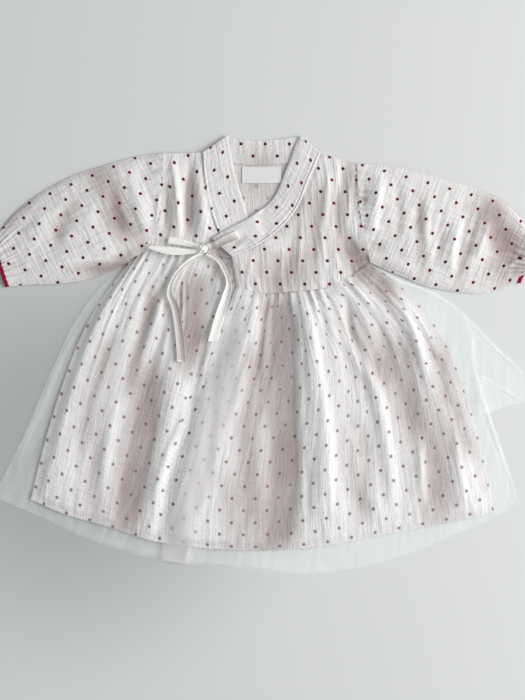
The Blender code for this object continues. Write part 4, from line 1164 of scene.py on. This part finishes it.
def lay_collar(node, free, seam, beside, first_dot, stitched, seed):
    """first_dot is how far down the band its first dot lies, stitched how deep its stitching is."""
    place = panel([free[0], seam[0]], [free[-1], seam[-1]], free, seam)
    across, down = fine_grid(place, COLLAR_GRID)
    x, y = place(across, down)
    wide = np.hypot(x[:, -1] - x[:, 0], y[:, -1] - y[:, 0])[:, None]
    middle = lengths_along(np.stack([x[:, len(across) // 2], y[:, len(across) // 2]], -1))[:, None]
    from_free = across[None, :] * wide
    from_seam = wide - from_free
    u = from_free / DOT_STEP + 0.5 - FIRST_ROW / DOT_STEP
    v = np.broadcast_to((middle - first_dot) / DOT_STEP + 0.5, x.shape)
    folds = crease_height(COLLAR_CREASES[node], x, y)
    relief = folds + 0.7 * crinkle(u * DOT_STEP, v * DOT_STEP, seed, 0.3)
    # A soft ridge on each side of the stitch line, and the free edge rolled down
    relief += 0.55 * stitched * np.exp(-((from_seam - 1.0) / 0.8) ** 2)
    relief -= 0.5 * stitched * np.exp(-((from_seam - STITCH_LINE) / 0.6) ** 2)
    relief += 0.45 * stitched * np.exp(-((from_seam - 3.8) / 0.9) ** 2)
    relief -= 0.6 * np.exp(-(from_free / 1.1) ** 2)
    pucker = smooth_noise(middle + 0 * x, x * 0, 1.7, 9, seed + 4)
    relief += 0.18 * pucker * np.exp(-((from_seam - STITCH_LINE) / 2.2) ** 2)
    z = settled(node, place, across, down, 1.5) + relief
    z = kept_above(z, x, y, beside, 0.6)
    hollow = hollowness(z, folds, 0.5 * broad_hollow(x, y, seed), 4 * np.minimum(from_free, from_seam))
    lay_cloth(node, [x, y, z, u, v], {"hollow": hollow}, gauze, "laid", ["cloth_bodice_back"],
              sides="tblr", roll=0.6, under=3.0, spacing=COLLAR_GRID)


lay_collar("collar_under", FREE_UNDER, SEAM_UNDER, ["bodice_front_under"], 12.0, 0.4, 51)

# %% [markdown]
# ## The gauze skirts
# A gathered skirt is a straight length of cloth whose top is drawn in to the waist. The spare cloth
# goes into pleats that start at the waist and open out towards the hem. So that the dots stay as
# far apart as on the flat cloth, the cloth that each pleat hides is counted when the place across
# the cloth is added up from one side to the other.

# %% Creases of the skirts
SKIRT_CREASES = {
    "skirt_front_under": [
        Crease([(-100, 92), (-105, 66), (-114, 50), (-121, 28), (-128, 5), (-136, -20)], 6, -3.2, 0.3),
        Crease([(-104, 74), (-104, 40), (-110, 15), (-118, -14)], 7, 2.2, -0.3),
        Crease([(-114, -38), (-124, -75), (-130, -105), (-138, -128), (-144, -165)], 15, -3.2, 0.2),
        Crease([(-77, -40), (-81, -65), (-92, -88), (-99, -106), (-106, -128), (-112, -170)], 8, 2.4,
               0.2),
        Crease([(-150, 72), (-184, 10), (-206, -45), (-226, -130)], 22, 2.2),
        Crease([(-132, 72), (-156, 10), (-176, -50), (-192, -130)], 8, -1.6),
        Crease([(-142, -30), (-154, -80), (-166, -150)], 8, 1.8),
        Crease([(-84, 84), (-84, 50), (-87, 20)], 2.6, -1.7),
        Crease([(-78, 80), (-78, 50), (-80, 22)], 2.6, -1.5),
        Crease([(-81, 82), (-81, 45), (-84, 15)], 2.2, 1.2),
        Crease([(-62, 94), (-60, 60), (-64, 20)], 15, -2.6),
        Crease([(-206, -70), (-216, -120)], 7, -1.1),
    ],
    "skirt_front_over": [
        Crease([(19, 68), (17, 20), (20, -60), (23, -120), (24, -172)], 15, -4.0, 0.3),
        Crease([(41, 66), (48, 15), (61, -65), (66, -168)], 14, 3.0, -0.2),
        Crease([(70, 30), (90, 2), (110, -30), (122, -85), (131, -168)], 11, 2.8),
        Crease([(81, 62), (88, 25), (94, 5)], 6, -2.3),
        Crease([(74, -45), (96, -82), (101, -150)], 12, -2.0, 0.2),
        Crease([(113, 88), (134, 30), (147, -40), (155, -95)], 15, -2.0, 0.2),
        Crease([(124, 84), (148, 30), (166, -40)], 7, 1.6),
        Crease([(164, 12), (176, -5), (190, -28)], 9, -1.2),
        Crease([(150, 62), (176, 20), (198, -40), (212, -90)], 8, 1.7),
        Crease([(160, -108), (170, -158)], 11, -1.4),
        Crease([(156, -70), (158, -120), (160, -160)], 7, 2.0),
        Crease([(196, -66), (206, -92), (216, -120)], 9, -1.2),
        Crease([(188, -60), (196, -110), (204, -155)], 7, 1.5),
        Crease([(-24, 60), (-22, 10), (-26, -70)], 10, 0.8),
        Crease([(0, 62), (-4, 10), (-8, -50)], 6, -1.4),
        Crease([(-44, 10), (-52, -60), (-58, -150)], 9, -1.3),
        Crease([(42, -90), (44, -130), (42, -175)], 6, -1.2),
    ],
}

print("creases on the skirts", {node: len(rows) for node, rows in SKIRT_CREASES.items()})

# %% Pleats
Pleat = namedtuple("Pleat", "across reach depth width")
# Some of the pleats are long. Reaches are shares of the skirt's length, the rest is in millimetres
LONG_SHARE = 0.3
LONG_REACH, SHORT_REACH = (0.4, 0.9), (0.12, 0.35)
PLEAT_DEPTH, PLEAT_WIDTH = (0.6, 1.5), (1.6, 3.0)


def random_pleats(count, start, stop, seed):
    pick = np.random.default_rng(seed)
    pleats = []
    for k in range(count):
        across = start + (stop - start) * (k + 0.5 + pick.uniform(-0.35, 0.35)) / count
        reach = pick.uniform(*(LONG_REACH if pick.uniform() < LONG_SHARE else SHORT_REACH))
        pleats.append(Pleat(across, reach, pick.uniform(*PLEAT_DEPTH), pick.uniform(*PLEAT_WIDTH)))
    return pleats


print("one of the pleats:", random_pleats(1, 0.0, 1.0, 1)[0])

# %% Lay a skirt
NETS_BELOW = ["net_front_under"]
SIDE_REACH = 15.0
WRAP_REACH = 34.0
HEM_REACH = 12.0
HEM_FOLD = 11.0
WAIST_REACH = 14.0
FLUTE_REACH = 34.0
SKIRT_GRID = 1.15
# Heights over what lies below, at the wrap's edge, at a side and at the hem
WRAP_GAP, SIDE_GAP, HEM_GAP = -0.1, 0.3, 0.4


def lay_skirt(node, place, bodice, pleats, dot, wrap, beside, rests_on, seed):
    """dot is how far the dots are moved across and down, in steps of the pattern.

    wrap is how far the left side rises, where it is the free edge of the wrap.
    """
    across, down = fine_grid(place, SKIRT_GRID)
    x, y = place(across, down)
    steps, drops = spans(x, y)
    wide = steps.sum(1)[:, None]
    from_hem = added_up(drops[::-1], 0)[::-1]
    from_waist = added_up(drops, 0)
    from_wrap = across[None, :] * wide
    folds = crease_height(SKIRT_CREASES[node], x, y)
    relief = folds.copy()
    for k, pleat in enumerate(pleats):
        sway = 0.012 * math.sin(2.4 * k) * down[:, None]
        aside = (across[None, :] - pleat.across - sway) * wide
        width = pleat.width * (1 + 1.2 * down[:, None])
        fade = ease((pleat.reach - down[:, None]) / (0.6 * pleat.reach))
        fade = fade * ease(down[:, None] / 0.01 + 0.4)
        relief -= pleat.depth * fade * np.exp(-(aside / width) ** 2)
        relief += 0.6 * pleat.depth * fade * np.exp(-((aside - 2.0 * width) / (1.3 * width)) ** 2)
    # Cloth that shows, and the cloth that the pleats' troughs hide
    hidden = np.clip(folds - relief, 0.0, 2.0)[:, 1:] ** 1.5 + 0.08
    shown = steps * (1.0 + 0.15 * (1 - down[:, None]))
    spare = np.clip(wide[-1, 0] - shown.sum(1)[:, None], 0.0, None)
    cloth = shown + spare * hidden / hidden.sum(1)[:, None]
    u, v = added_up(cloth, 1) / DOT_STEP + dot[0], -from_hem / DOT_STEP + dot[1]
    relief += crinkle(u * DOT_STEP, v * DOT_STEP, seed, 0.2)
    flutes = smooth_noise(u * DOT_STEP, v * DOT_STEP, 4.5, 90, seed + 9)
    relief += 0.7 * flutes * ease(1 - from_hem / FLUTE_REACH)
    relief += 0.15 * ease((HEM_FOLD - from_hem) / 2) - 0.12 * np.exp(-((from_hem - HEM_FOLD) / 1.0) ** 2)
    relief += wrap * np.exp(-((from_wrap - 5) / 7) ** 2)
    # The seam's height is that of the bodice above it
    bodice_rim = waist_rims[bodice]
    waist_level = blur_line(np.interp(across, np.linspace(0, 1, len(bodice_rim)), bodice_rim), 4.0)
    near_waist = 1 - ease(from_waist / WAIST_REACH)
    z = settled(node, place, across, down) * (1 - near_waist) + waist_level[None, :] * near_waist
    broad = broad_hollow(x, y, seed)
    z = kept_above(z + relief - HOLLOW_SINK * broad, x, y, beside)
    # A free edge thins out on the cloth below it, as soft gauze does, and shows no step
    from_side = np.minimum(across, 1 - across)[None, :] * wide
    below = stack.under(x, y, beside + NETS_BELOW, widen=False)
    on_left = 1 - ease(from_wrap / (WRAP_REACH if wrap else SIDE_REACH))
    on_right = 1 - ease((wide - from_wrap) / SIDE_REACH)
    on_side = np.maximum(on_left, on_right) * ease(from_waist / 40)
    gap = np.where(on_left > 0, WRAP_GAP, SIDE_GAP) if wrap else SIDE_GAP
    z = z * (1 - on_side) + (below + gap) * on_side
    on_hem = 0.8 * (1 - ease(from_hem / HEM_REACH))
    z = z * (1 - on_hem) + (below + HEM_GAP) * on_hem
    hollow = hollowness(z, folds, broad, np.minimum(from_side, from_hem))
    # The wrap's free edge is painted lighter, as a highlight along its ridge
    if wrap:
        hollow = hollow - 0.5 * np.exp(-(from_wrap / 14) ** 2) * ease(from_waist / 90)
    lay_cloth(node, [x, y, z, u, v], {"hollow": hollow}, veiled_gauze, "gathered", rests_on,
              sides="br" if wrap else "blr", roll=0.35)


under_waist = ["bodice_front_under", "collar_under", "sleeve_left", "edging_left"]
skirt_under_place = panel(WAIST_UNDER, HEM[:4] + [UNDER_LAP[-1]], SIDE_LEFT, UNDER_LAP)
lay_skirt("skirt_front_under", skirt_under_place, "bodice_front_under",
          random_pleats(26, 0.04, 0.8, 61), (0.42, 0.06), 0.0, under_waist, ["cloth_skirt_back"], 62)

# %% [markdown]
# ## The net
# Net is stiff for its weight. It rests on the tops of the gauze folds and bridges the hollows
# between them, and it has long thin folds of its own. Where it is doubled it looks whiter, so those
# places are written into an attribute that its finish reads.

# %% Net skirts
NET_FOLDS = {
    "net_front_under": [
        Crease([(-140, 85), (-190, 20), (-226, -60), (-252, -120)], 4, 0.5),
    ],
    "net_front_over": [
        Crease([(111, 92), (136, 76), (176, 60), (205, 38)], 4.5, 0.6),
        Crease([(206, 37), (213, -15), (235, -85), (256, -146)], 5, 0.8),
        Crease([(136, 65), (160, 30), (181, -15)], 2.0, 0.7),
        Crease([(-73, -188), (-80, -211)], 2.5, 1.2),
    ],
}
# Where the over net's doubled edge ends, from its top down
DOUBLED_EDGE = [(-24, 30), (-24, -30), (-29, -55), (-39, -75), (-49, -110), (-53, -135), (-66, -160),
                (-72, -188), (-76, -212)]


NET_RISE = 1.1
NET_GRID = 1.3


def lay_net(node, place, beside, rests_on, seed, doubled=None):
    """doubled gives for each place how much the net is folded double there."""
    across, down = fine_grid(place, NET_GRID)
    x, y = place(across, down)
    steps, drops = spans(x, y)
    u, v = added_up(steps, 1) / DOT_STEP, added_up(drops, 0) / DOT_STEP
    under = stack.under(x, y, beside)
    fan = across[None, :] * 300 + 0 * x
    ripple = 0.6 * smooth_noise(fan, y, 16, 90, seed) + 0.3 * smooth_noise(fan, y, 6, 60, seed + 1)
    folds = crease_height(NET_FOLDS[node], x, y)
    z = blur(under, 3.0) + NET_RISE + ripple + 0.6 * folds
    z = np.maximum(blur(np.maximum(z, under + CLEARANCE), 1.2), under + CLEARANCE)
    felt = {"folded": np.clip(folds, 0.0, 1.0), "doubled": doubled(x, y) if doubled else 0.0 * x}
    lay_cloth(node, [x, y, z, u, v], felt, net, "gathered", rests_on, sides="")


def doubled_at_wrap(x, y):
    """1 on the strip along the wrap edge where the net is folded double."""
    left, right = (np.interp(y, *np.array(line[::-1], float).T[::-1]) for line in (NET_WRAP, DOUBLED_EDGE))
    return 0.72 * ease((x - left) / 9) * ease((right - x) / 20 + 0.5) * ease((46 - y) / 24)


net_under_place = panel(WAIST_UNDER, NET_HEM_LEFT, NET_SIDE_LEFT, NET_LAP)
lay_net("net_front_under", net_under_place, under_waist, ["cloth_skirt_front_under"], 71)

# %% [markdown]
# ## The over front
# The wearer's left front laps over the right one, with its own collar band, gauze skirt and net.

# %% Over front
over_place = panel(SHOULDER_RIGHT, WAIST_OVER, (SEAM_OVER, [SEAM_OVER[-1], WAIST_OVER[0]]),
                   ARMHOLE_RIGHT)
lay_bodice("bodice_front_over", over_place, "right", ["sleeve_right", "edging_right"], 81)
lay_collar("collar_over", FREE_OVER, SEAM_OVER, ["bodice_front_over"], 24.0, 1.0, 82)
over_waist = ["bodice_front_over", "sleeve_right", "edging_right"]
skirt_over_place = panel(WAIST_OVER, [WRAP_EDGE[-1]] + HEM[4:], WRAP_EDGE, SIDE_RIGHT)
lay_skirt("skirt_front_over", skirt_over_place, "bodice_front_over",
          random_pleats(34, 0.03, 0.97, 83), (0.3, -0.35), 1.2, over_waist,
          ["cloth_skirt_front_under", "cloth_skirt_back"], 84)
net_over_place = panel(WAIST_OVER, NET_HEM_RIGHT, NET_WRAP, NET_SIDE_RIGHT)
lay_net("net_front_over", net_over_place, over_waist, ["cloth_skirt_front_over"], 85,
        doubled_at_wrap)

# %% [markdown]
# ## The bow
# The bow is one flat cream tape, tied once. Near the knot its tails curl up into narrow gutters, and
# then they open out flat. A strip is swept along a line with a curl, so that its real width stays
# the same while it looks narrow.

# %% Tape
Stop = namedtuple("Stop", "x y lift curl")
TAPE_WIDTH = 9.0
TAPE_STEPS = 14
ACROSS_TAPE = np.linspace(-0.5, 0.5, 13)


def tape_object(name, stops, cut=0.0, shade_from=-1e3):
    """A tape through stops of x, y and curl. Curl 0 is flat, and 1 turns its edges up to meet.

    Lower on the dress than the given level, its colour is painted darker with shade, up to its bright cut
    end.
    """
    node = "tie_" + name
    lifts = [float(solid_height(node, np.array([x]), np.array([y]))[0]) for x, y, _ in stops]
    stops = [Stop(x, y, lift - 0.6 - 1.2 * curl, curl) for (x, y, curl), lift in zip(stops, lifts)]
    line = smooth_line([s[:3] for s in stops], TAPE_STEPS)
    along = lengths_along(line)
    curl = np.interp(along, along[::TAPE_STEPS], [s.curl for s in stops])
    heading = np.gradient(line, axis=0)
    heading /= np.linalg.norm(heading, axis=1)[:, None]
    side = np.stack([-heading[:, 1], heading[:, 0], 0 * along], -1)
    side /= np.linalg.norm(side, axis=1)[:, None]
    part = ACROSS_TAPE
    angle = np.maximum(curl, 0.02) * math.tau * 0.8
    radius = TAPE_WIDTH / angle
    across = radius[:, None] * np.sin(part[None, :] * angle[:, None])
    rise = radius[:, None] * (1 - np.cos(part[None, :] * angle[:, None]))
    rise = rise - 0.12 * np.cos(part[None, :] * math.tau) * (curl[:, None] < 0.2)
    spots = line[:, None, :] + side[:, None, :] * across[..., None]
    spots = spots + np.array([0, 0, 1.0]) * rise[..., None]
    spots[-3:] += heading[-3:, None, :] * (cut * part[None, :, None])
    x, y, z = spots[..., 0], spots[..., 1], spots[..., 2]
    u = np.broadcast_to(part[None, :] * TAPE_WIDTH / DOT_STEP, x.shape)
    v = np.broadcast_to(along[:, None] / DOT_STEP, x.shape)
    floor = stack.under(x, y, [node]) + CLEARANCE
    z = z + np.maximum(floor - z, 0).max(axis=1, keepdims=True)
    from_end = (along[-1] - along)[:, None] - 0 * x
    # Painted shade below the given level, which stops just short of the cut end
    painted_shade = ease((shade_from - y) / 22) * ease((from_end - 1.0) / 1.2)
    shown = turned([x, y, z, u, v, painted_shade], "tblr", 0.25, 1.6, 0.7)
    make_sheet("tape_" + name, node, shown, tape, ["painted_shade"])
    stack.lay(node, x, y, z)


tape_object("tail_left", [
    (-62, 101, 0.75), (-72, 95, 0.8), (-83, 86, 0.85), (-91, 74, 0.85), (-94, 62, 0.7), (-89, 48, 0.45),
    (-85, 25, 0.35), (-82, -7, 0.2)], cut=3.0, shade_from=70.0)
tape_object("tail_right", [
    (-57, 102, 0.75), (-46, 95, 0.8), (-39, 84, 0.8), (-35, 72, 0.7), (-38, 58, 0.4), (-44, 40, 0.08),
    (-51, 14, 0.0)], cut=-3.0)
tape_object("strap", [
    (-57, 107, 0.6), (-46, 111, 0.5), (-38, 115, 0.35), (-26, 120, 0.25)], shade_from=134.0)

# %% [markdown]
# ## The loops and the knot
# A loop goes out along its lower layer, turns at its tip and comes back along the upper one. The
# knot is the tape wound once round all of them.

# %% Loops
def loop_object(name, root, tip, sag, widths):
    """widths are those seen from above at even steps from the root to the tip."""
    node = "tie_" + name
    low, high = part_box(node)
    bottom, top = low.z / MM + 0.5, high.z / MM - 0.3
    root, tip = np.array(root, float), np.array(tip, float)
    length = np.hypot(*(tip - root))
    heading = (tip - root) / length
    side = np.array([-heading[1], heading[0]])
    out = np.linspace(0, 0.97, 34)
    turn = np.linspace(0, math.pi, 14)[1:-1]
    share = np.concatenate([out, 0.97 + 0.03 * np.sin(turn), out[::-1]])
    level = np.concatenate([0 * out, 0.5 - 0.5 * np.cos(turn), 0 * out + 1])
    part = ACROSS_TAPE
    width = np.interp(share, np.linspace(0, 1, len(widths)), widths)
    upper = level > 0.5
    z = bottom + (top - bottom) * level
    gather = (1 - ease(share / 0.5))[:, None] * np.cos(part[None, :] * math.tau * 1.5)
    z = z[:, None] + 0.5 * gather * np.where(upper, 1, -0.3)[:, None]
    z = z - 0.25 * (2 * part[None, :]) ** 2 * np.where(upper, 1, -1)[:, None]
    middle = root + heading * (length * share)[:, None] + side * (sag * np.sin(
        math.pi * np.minimum(share, 1)))[:, None]
    x = middle[:, :1] + side[0] * width[:, None] * part[None, :]
    y = middle[:, 1:] + side[1] * width[:, None] * part[None, :]
    path = lengths_along(np.column_stack([middle, z[:, 6]]))
    u = np.broadcast_to(part[None, :] * TAPE_WIDTH / DOT_STEP, x.shape)
    v = np.broadcast_to(path[:, None] / DOT_STEP, x.shape)
    make_sheet("tape_" + name, node, [x, y, z, u, v], tape)


loop_object("loop_long", (-65, 103.2), (-115.5, 107.6), 2.0,
            (3.2, 4.4, 6.4, 7.6, 7.0, 4.8, 2.2))
loop_object("loop_short", (-65.5, 108.4), (-96, 114.8), -0.8,
            (3.6, 4.2, 5.4, 6.4, 6.8, 6.6))

# %% The knot
KNOT_RADII = (5.0, 4.6)
KNOT_TURN = math.radians(10.0)
# How far out each ring below the knot's rim lies and how high, as shares
KNOT_RINGS = ((0.98, 0.55), (0.93, 0.2), (0.85, 0.05))


def knot_object():
    low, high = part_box("tie_knot")
    centre = (low + high) / (2 * MM)
    base, rise = low.z / MM, (high.z - low.z) / MM
    ring = np.linspace(0.0, 1.0, 22)[:, None]
    angle = np.linspace(0, math.tau, 60, endpoint=False)[None, :]
    a, b = KNOT_RADII[0] * ring * np.cos(angle), KNOT_RADII[1] * ring * np.sin(angle)
    bulge = 0.86 - 0.6 * np.broadcast_to(ring, a.shape) ** 3
    wound = 0.6 * np.cos((a * 0.75 + b * 0.65) * 1.3) + 0.4 * np.cos((a * 0.7 - b * 0.7) * 1.9 + 1)
    x = centre.x + a * math.cos(KNOT_TURN) - b * math.sin(KNOT_TURN)
    y = centre.y + a * math.sin(KNOT_TURN) + b * math.cos(KNOT_TURN)
    z = base + rise * bulge + wound * bulge
    # Painted shade in the valleys between the windings
    between = 0.45 * ease((0.35 - wound) / 0.7)
    out, up = (np.array(column)[:, None] for column in zip(*KNOT_RINGS))
    x = np.vstack([x, centre.x + (x[-1:] - centre.x) * out])
    y = np.vstack([y, centre.y + (y[-1:] - centre.y) * out])
    z = np.vstack([z, base + (z[-1:] - base) * up])
    between = np.vstack([between, between[-1:] + 0 * out])
    grids = [x, y, z, x / DOT_STEP, y / DOT_STEP, between]
    sheet_object("tape_knot", "tie_knot", grids, tape, around=True, felt=["painted_shade"])
    print("knot top", round(float(z.max()), 1))


knot_object()

# %% [markdown]
# ## Floor and light
# The dress lies on a plain pale floor. A large window stands on the upper right, and the rest of the
# room gives an even light, so each fold has a bright right side and a soft grey left one. The
# photograph has a broad shade to the left of the skirt, which is painted here into the floor's colour as a
# shadow.

# %% Floor
FLOOR_SHADE_PLACE = (-0.19, -0.09, 0.0)
FLOOR_SHADE_REACH, FLOOR_SHADE_CORE = 0.28, 0.05
FLOOR_GREY, FLOOR_PALE = (0.70, 0.72, 0.715), (0.73, 0.745, 0.74)
FLOOR_SHADE = (0.455, 0.47, 0.465)
FLOOR_HALF, FLOOR_LEVEL = 3.0, -0.0003
floor_finish = Finish("pale_floor", "floor", FLOOR_GREY, 0.7)
place = floor_finish.node("ShaderNodeTexCoord", {}, {}, out="Object")
cloudy = floor_finish.noise(place, 3.0, 3.0)
pale = floor_finish.blend(cloudy, FLOOR_GREY, FLOOR_PALE)
from_shade = floor_finish.node("ShaderNodeVectorMath", {"operation": "DISTANCE"},
                               {0: place, 1: FLOOR_SHADE_PLACE}, out="Value")
# A broad painted shadow on the floor, to the left of the skirt
shade = from_shade.step(FLOOR_SHADE_REACH, FLOOR_SHADE_CORE)
floor_finish.put("Base Color", floor_finish.blend(shade, pale, FLOOR_SHADE))
floor_mesh = bpy.data.meshes.new("floor")
corners = [(a * FLOOR_HALF, b * FLOOR_HALF, FLOOR_LEVEL) for a, b in ((-1, -1), (1, -1), (1, 1), (-1, 1))]
floor_mesh.from_pydata(corners, [], [(0, 1, 2, 3)])
floor_mesh.materials.append(floor_finish.material)
add_object("floor", floor_mesh)
print("floor", 2 * FLOOR_HALF, "m wide")

# %% Light
WINDOW_PLACE, WINDOW_SIZE, WINDOW_POWER = (2.2, 0.1, 1.5), 2.0, 78.0
ROOM_COLOUR, ROOM_STRENGTH = (0.86, 0.88, 0.89, 1.0), 0.44
light = bpy.data.lights.new("window", "AREA")
light.shape = "RECTANGLE"
light.size = light.size_y = WINDOW_SIZE
light.energy = WINDOW_POWER
light.color = (1.0, 0.995, 0.985)
lamp = add_object("window", light)
lamp.location = WINDOW_PLACE
lamp.rotation_euler = (-Vector(WINDOW_PLACE)).to_track_quat("-Z", "Y").to_euler()
world = bpy.data.worlds.new("room")
bpy.context.scene.world = world
world.use_nodes = True
background = world.node_tree.nodes["Background"]
background.inputs["Color"].default_value = ROOM_COLOUR
background.inputs["Strength"].default_value = ROOM_STRENGTH
bpy.context.scene.view_settings.view_transform = "Standard"
print("window", WINDOW_POWER, "W, room", ROOM_STRENGTH)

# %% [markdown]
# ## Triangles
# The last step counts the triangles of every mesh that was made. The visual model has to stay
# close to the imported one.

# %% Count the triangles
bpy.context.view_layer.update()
triangles = {o.name: sum(len(p.vertices) - 2 for p in o.data.polygons)
             for o in bpy.data.objects if o.type == "MESH" and not o.get("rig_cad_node")}
print("triangles", sum(triangles.values()), triangles)
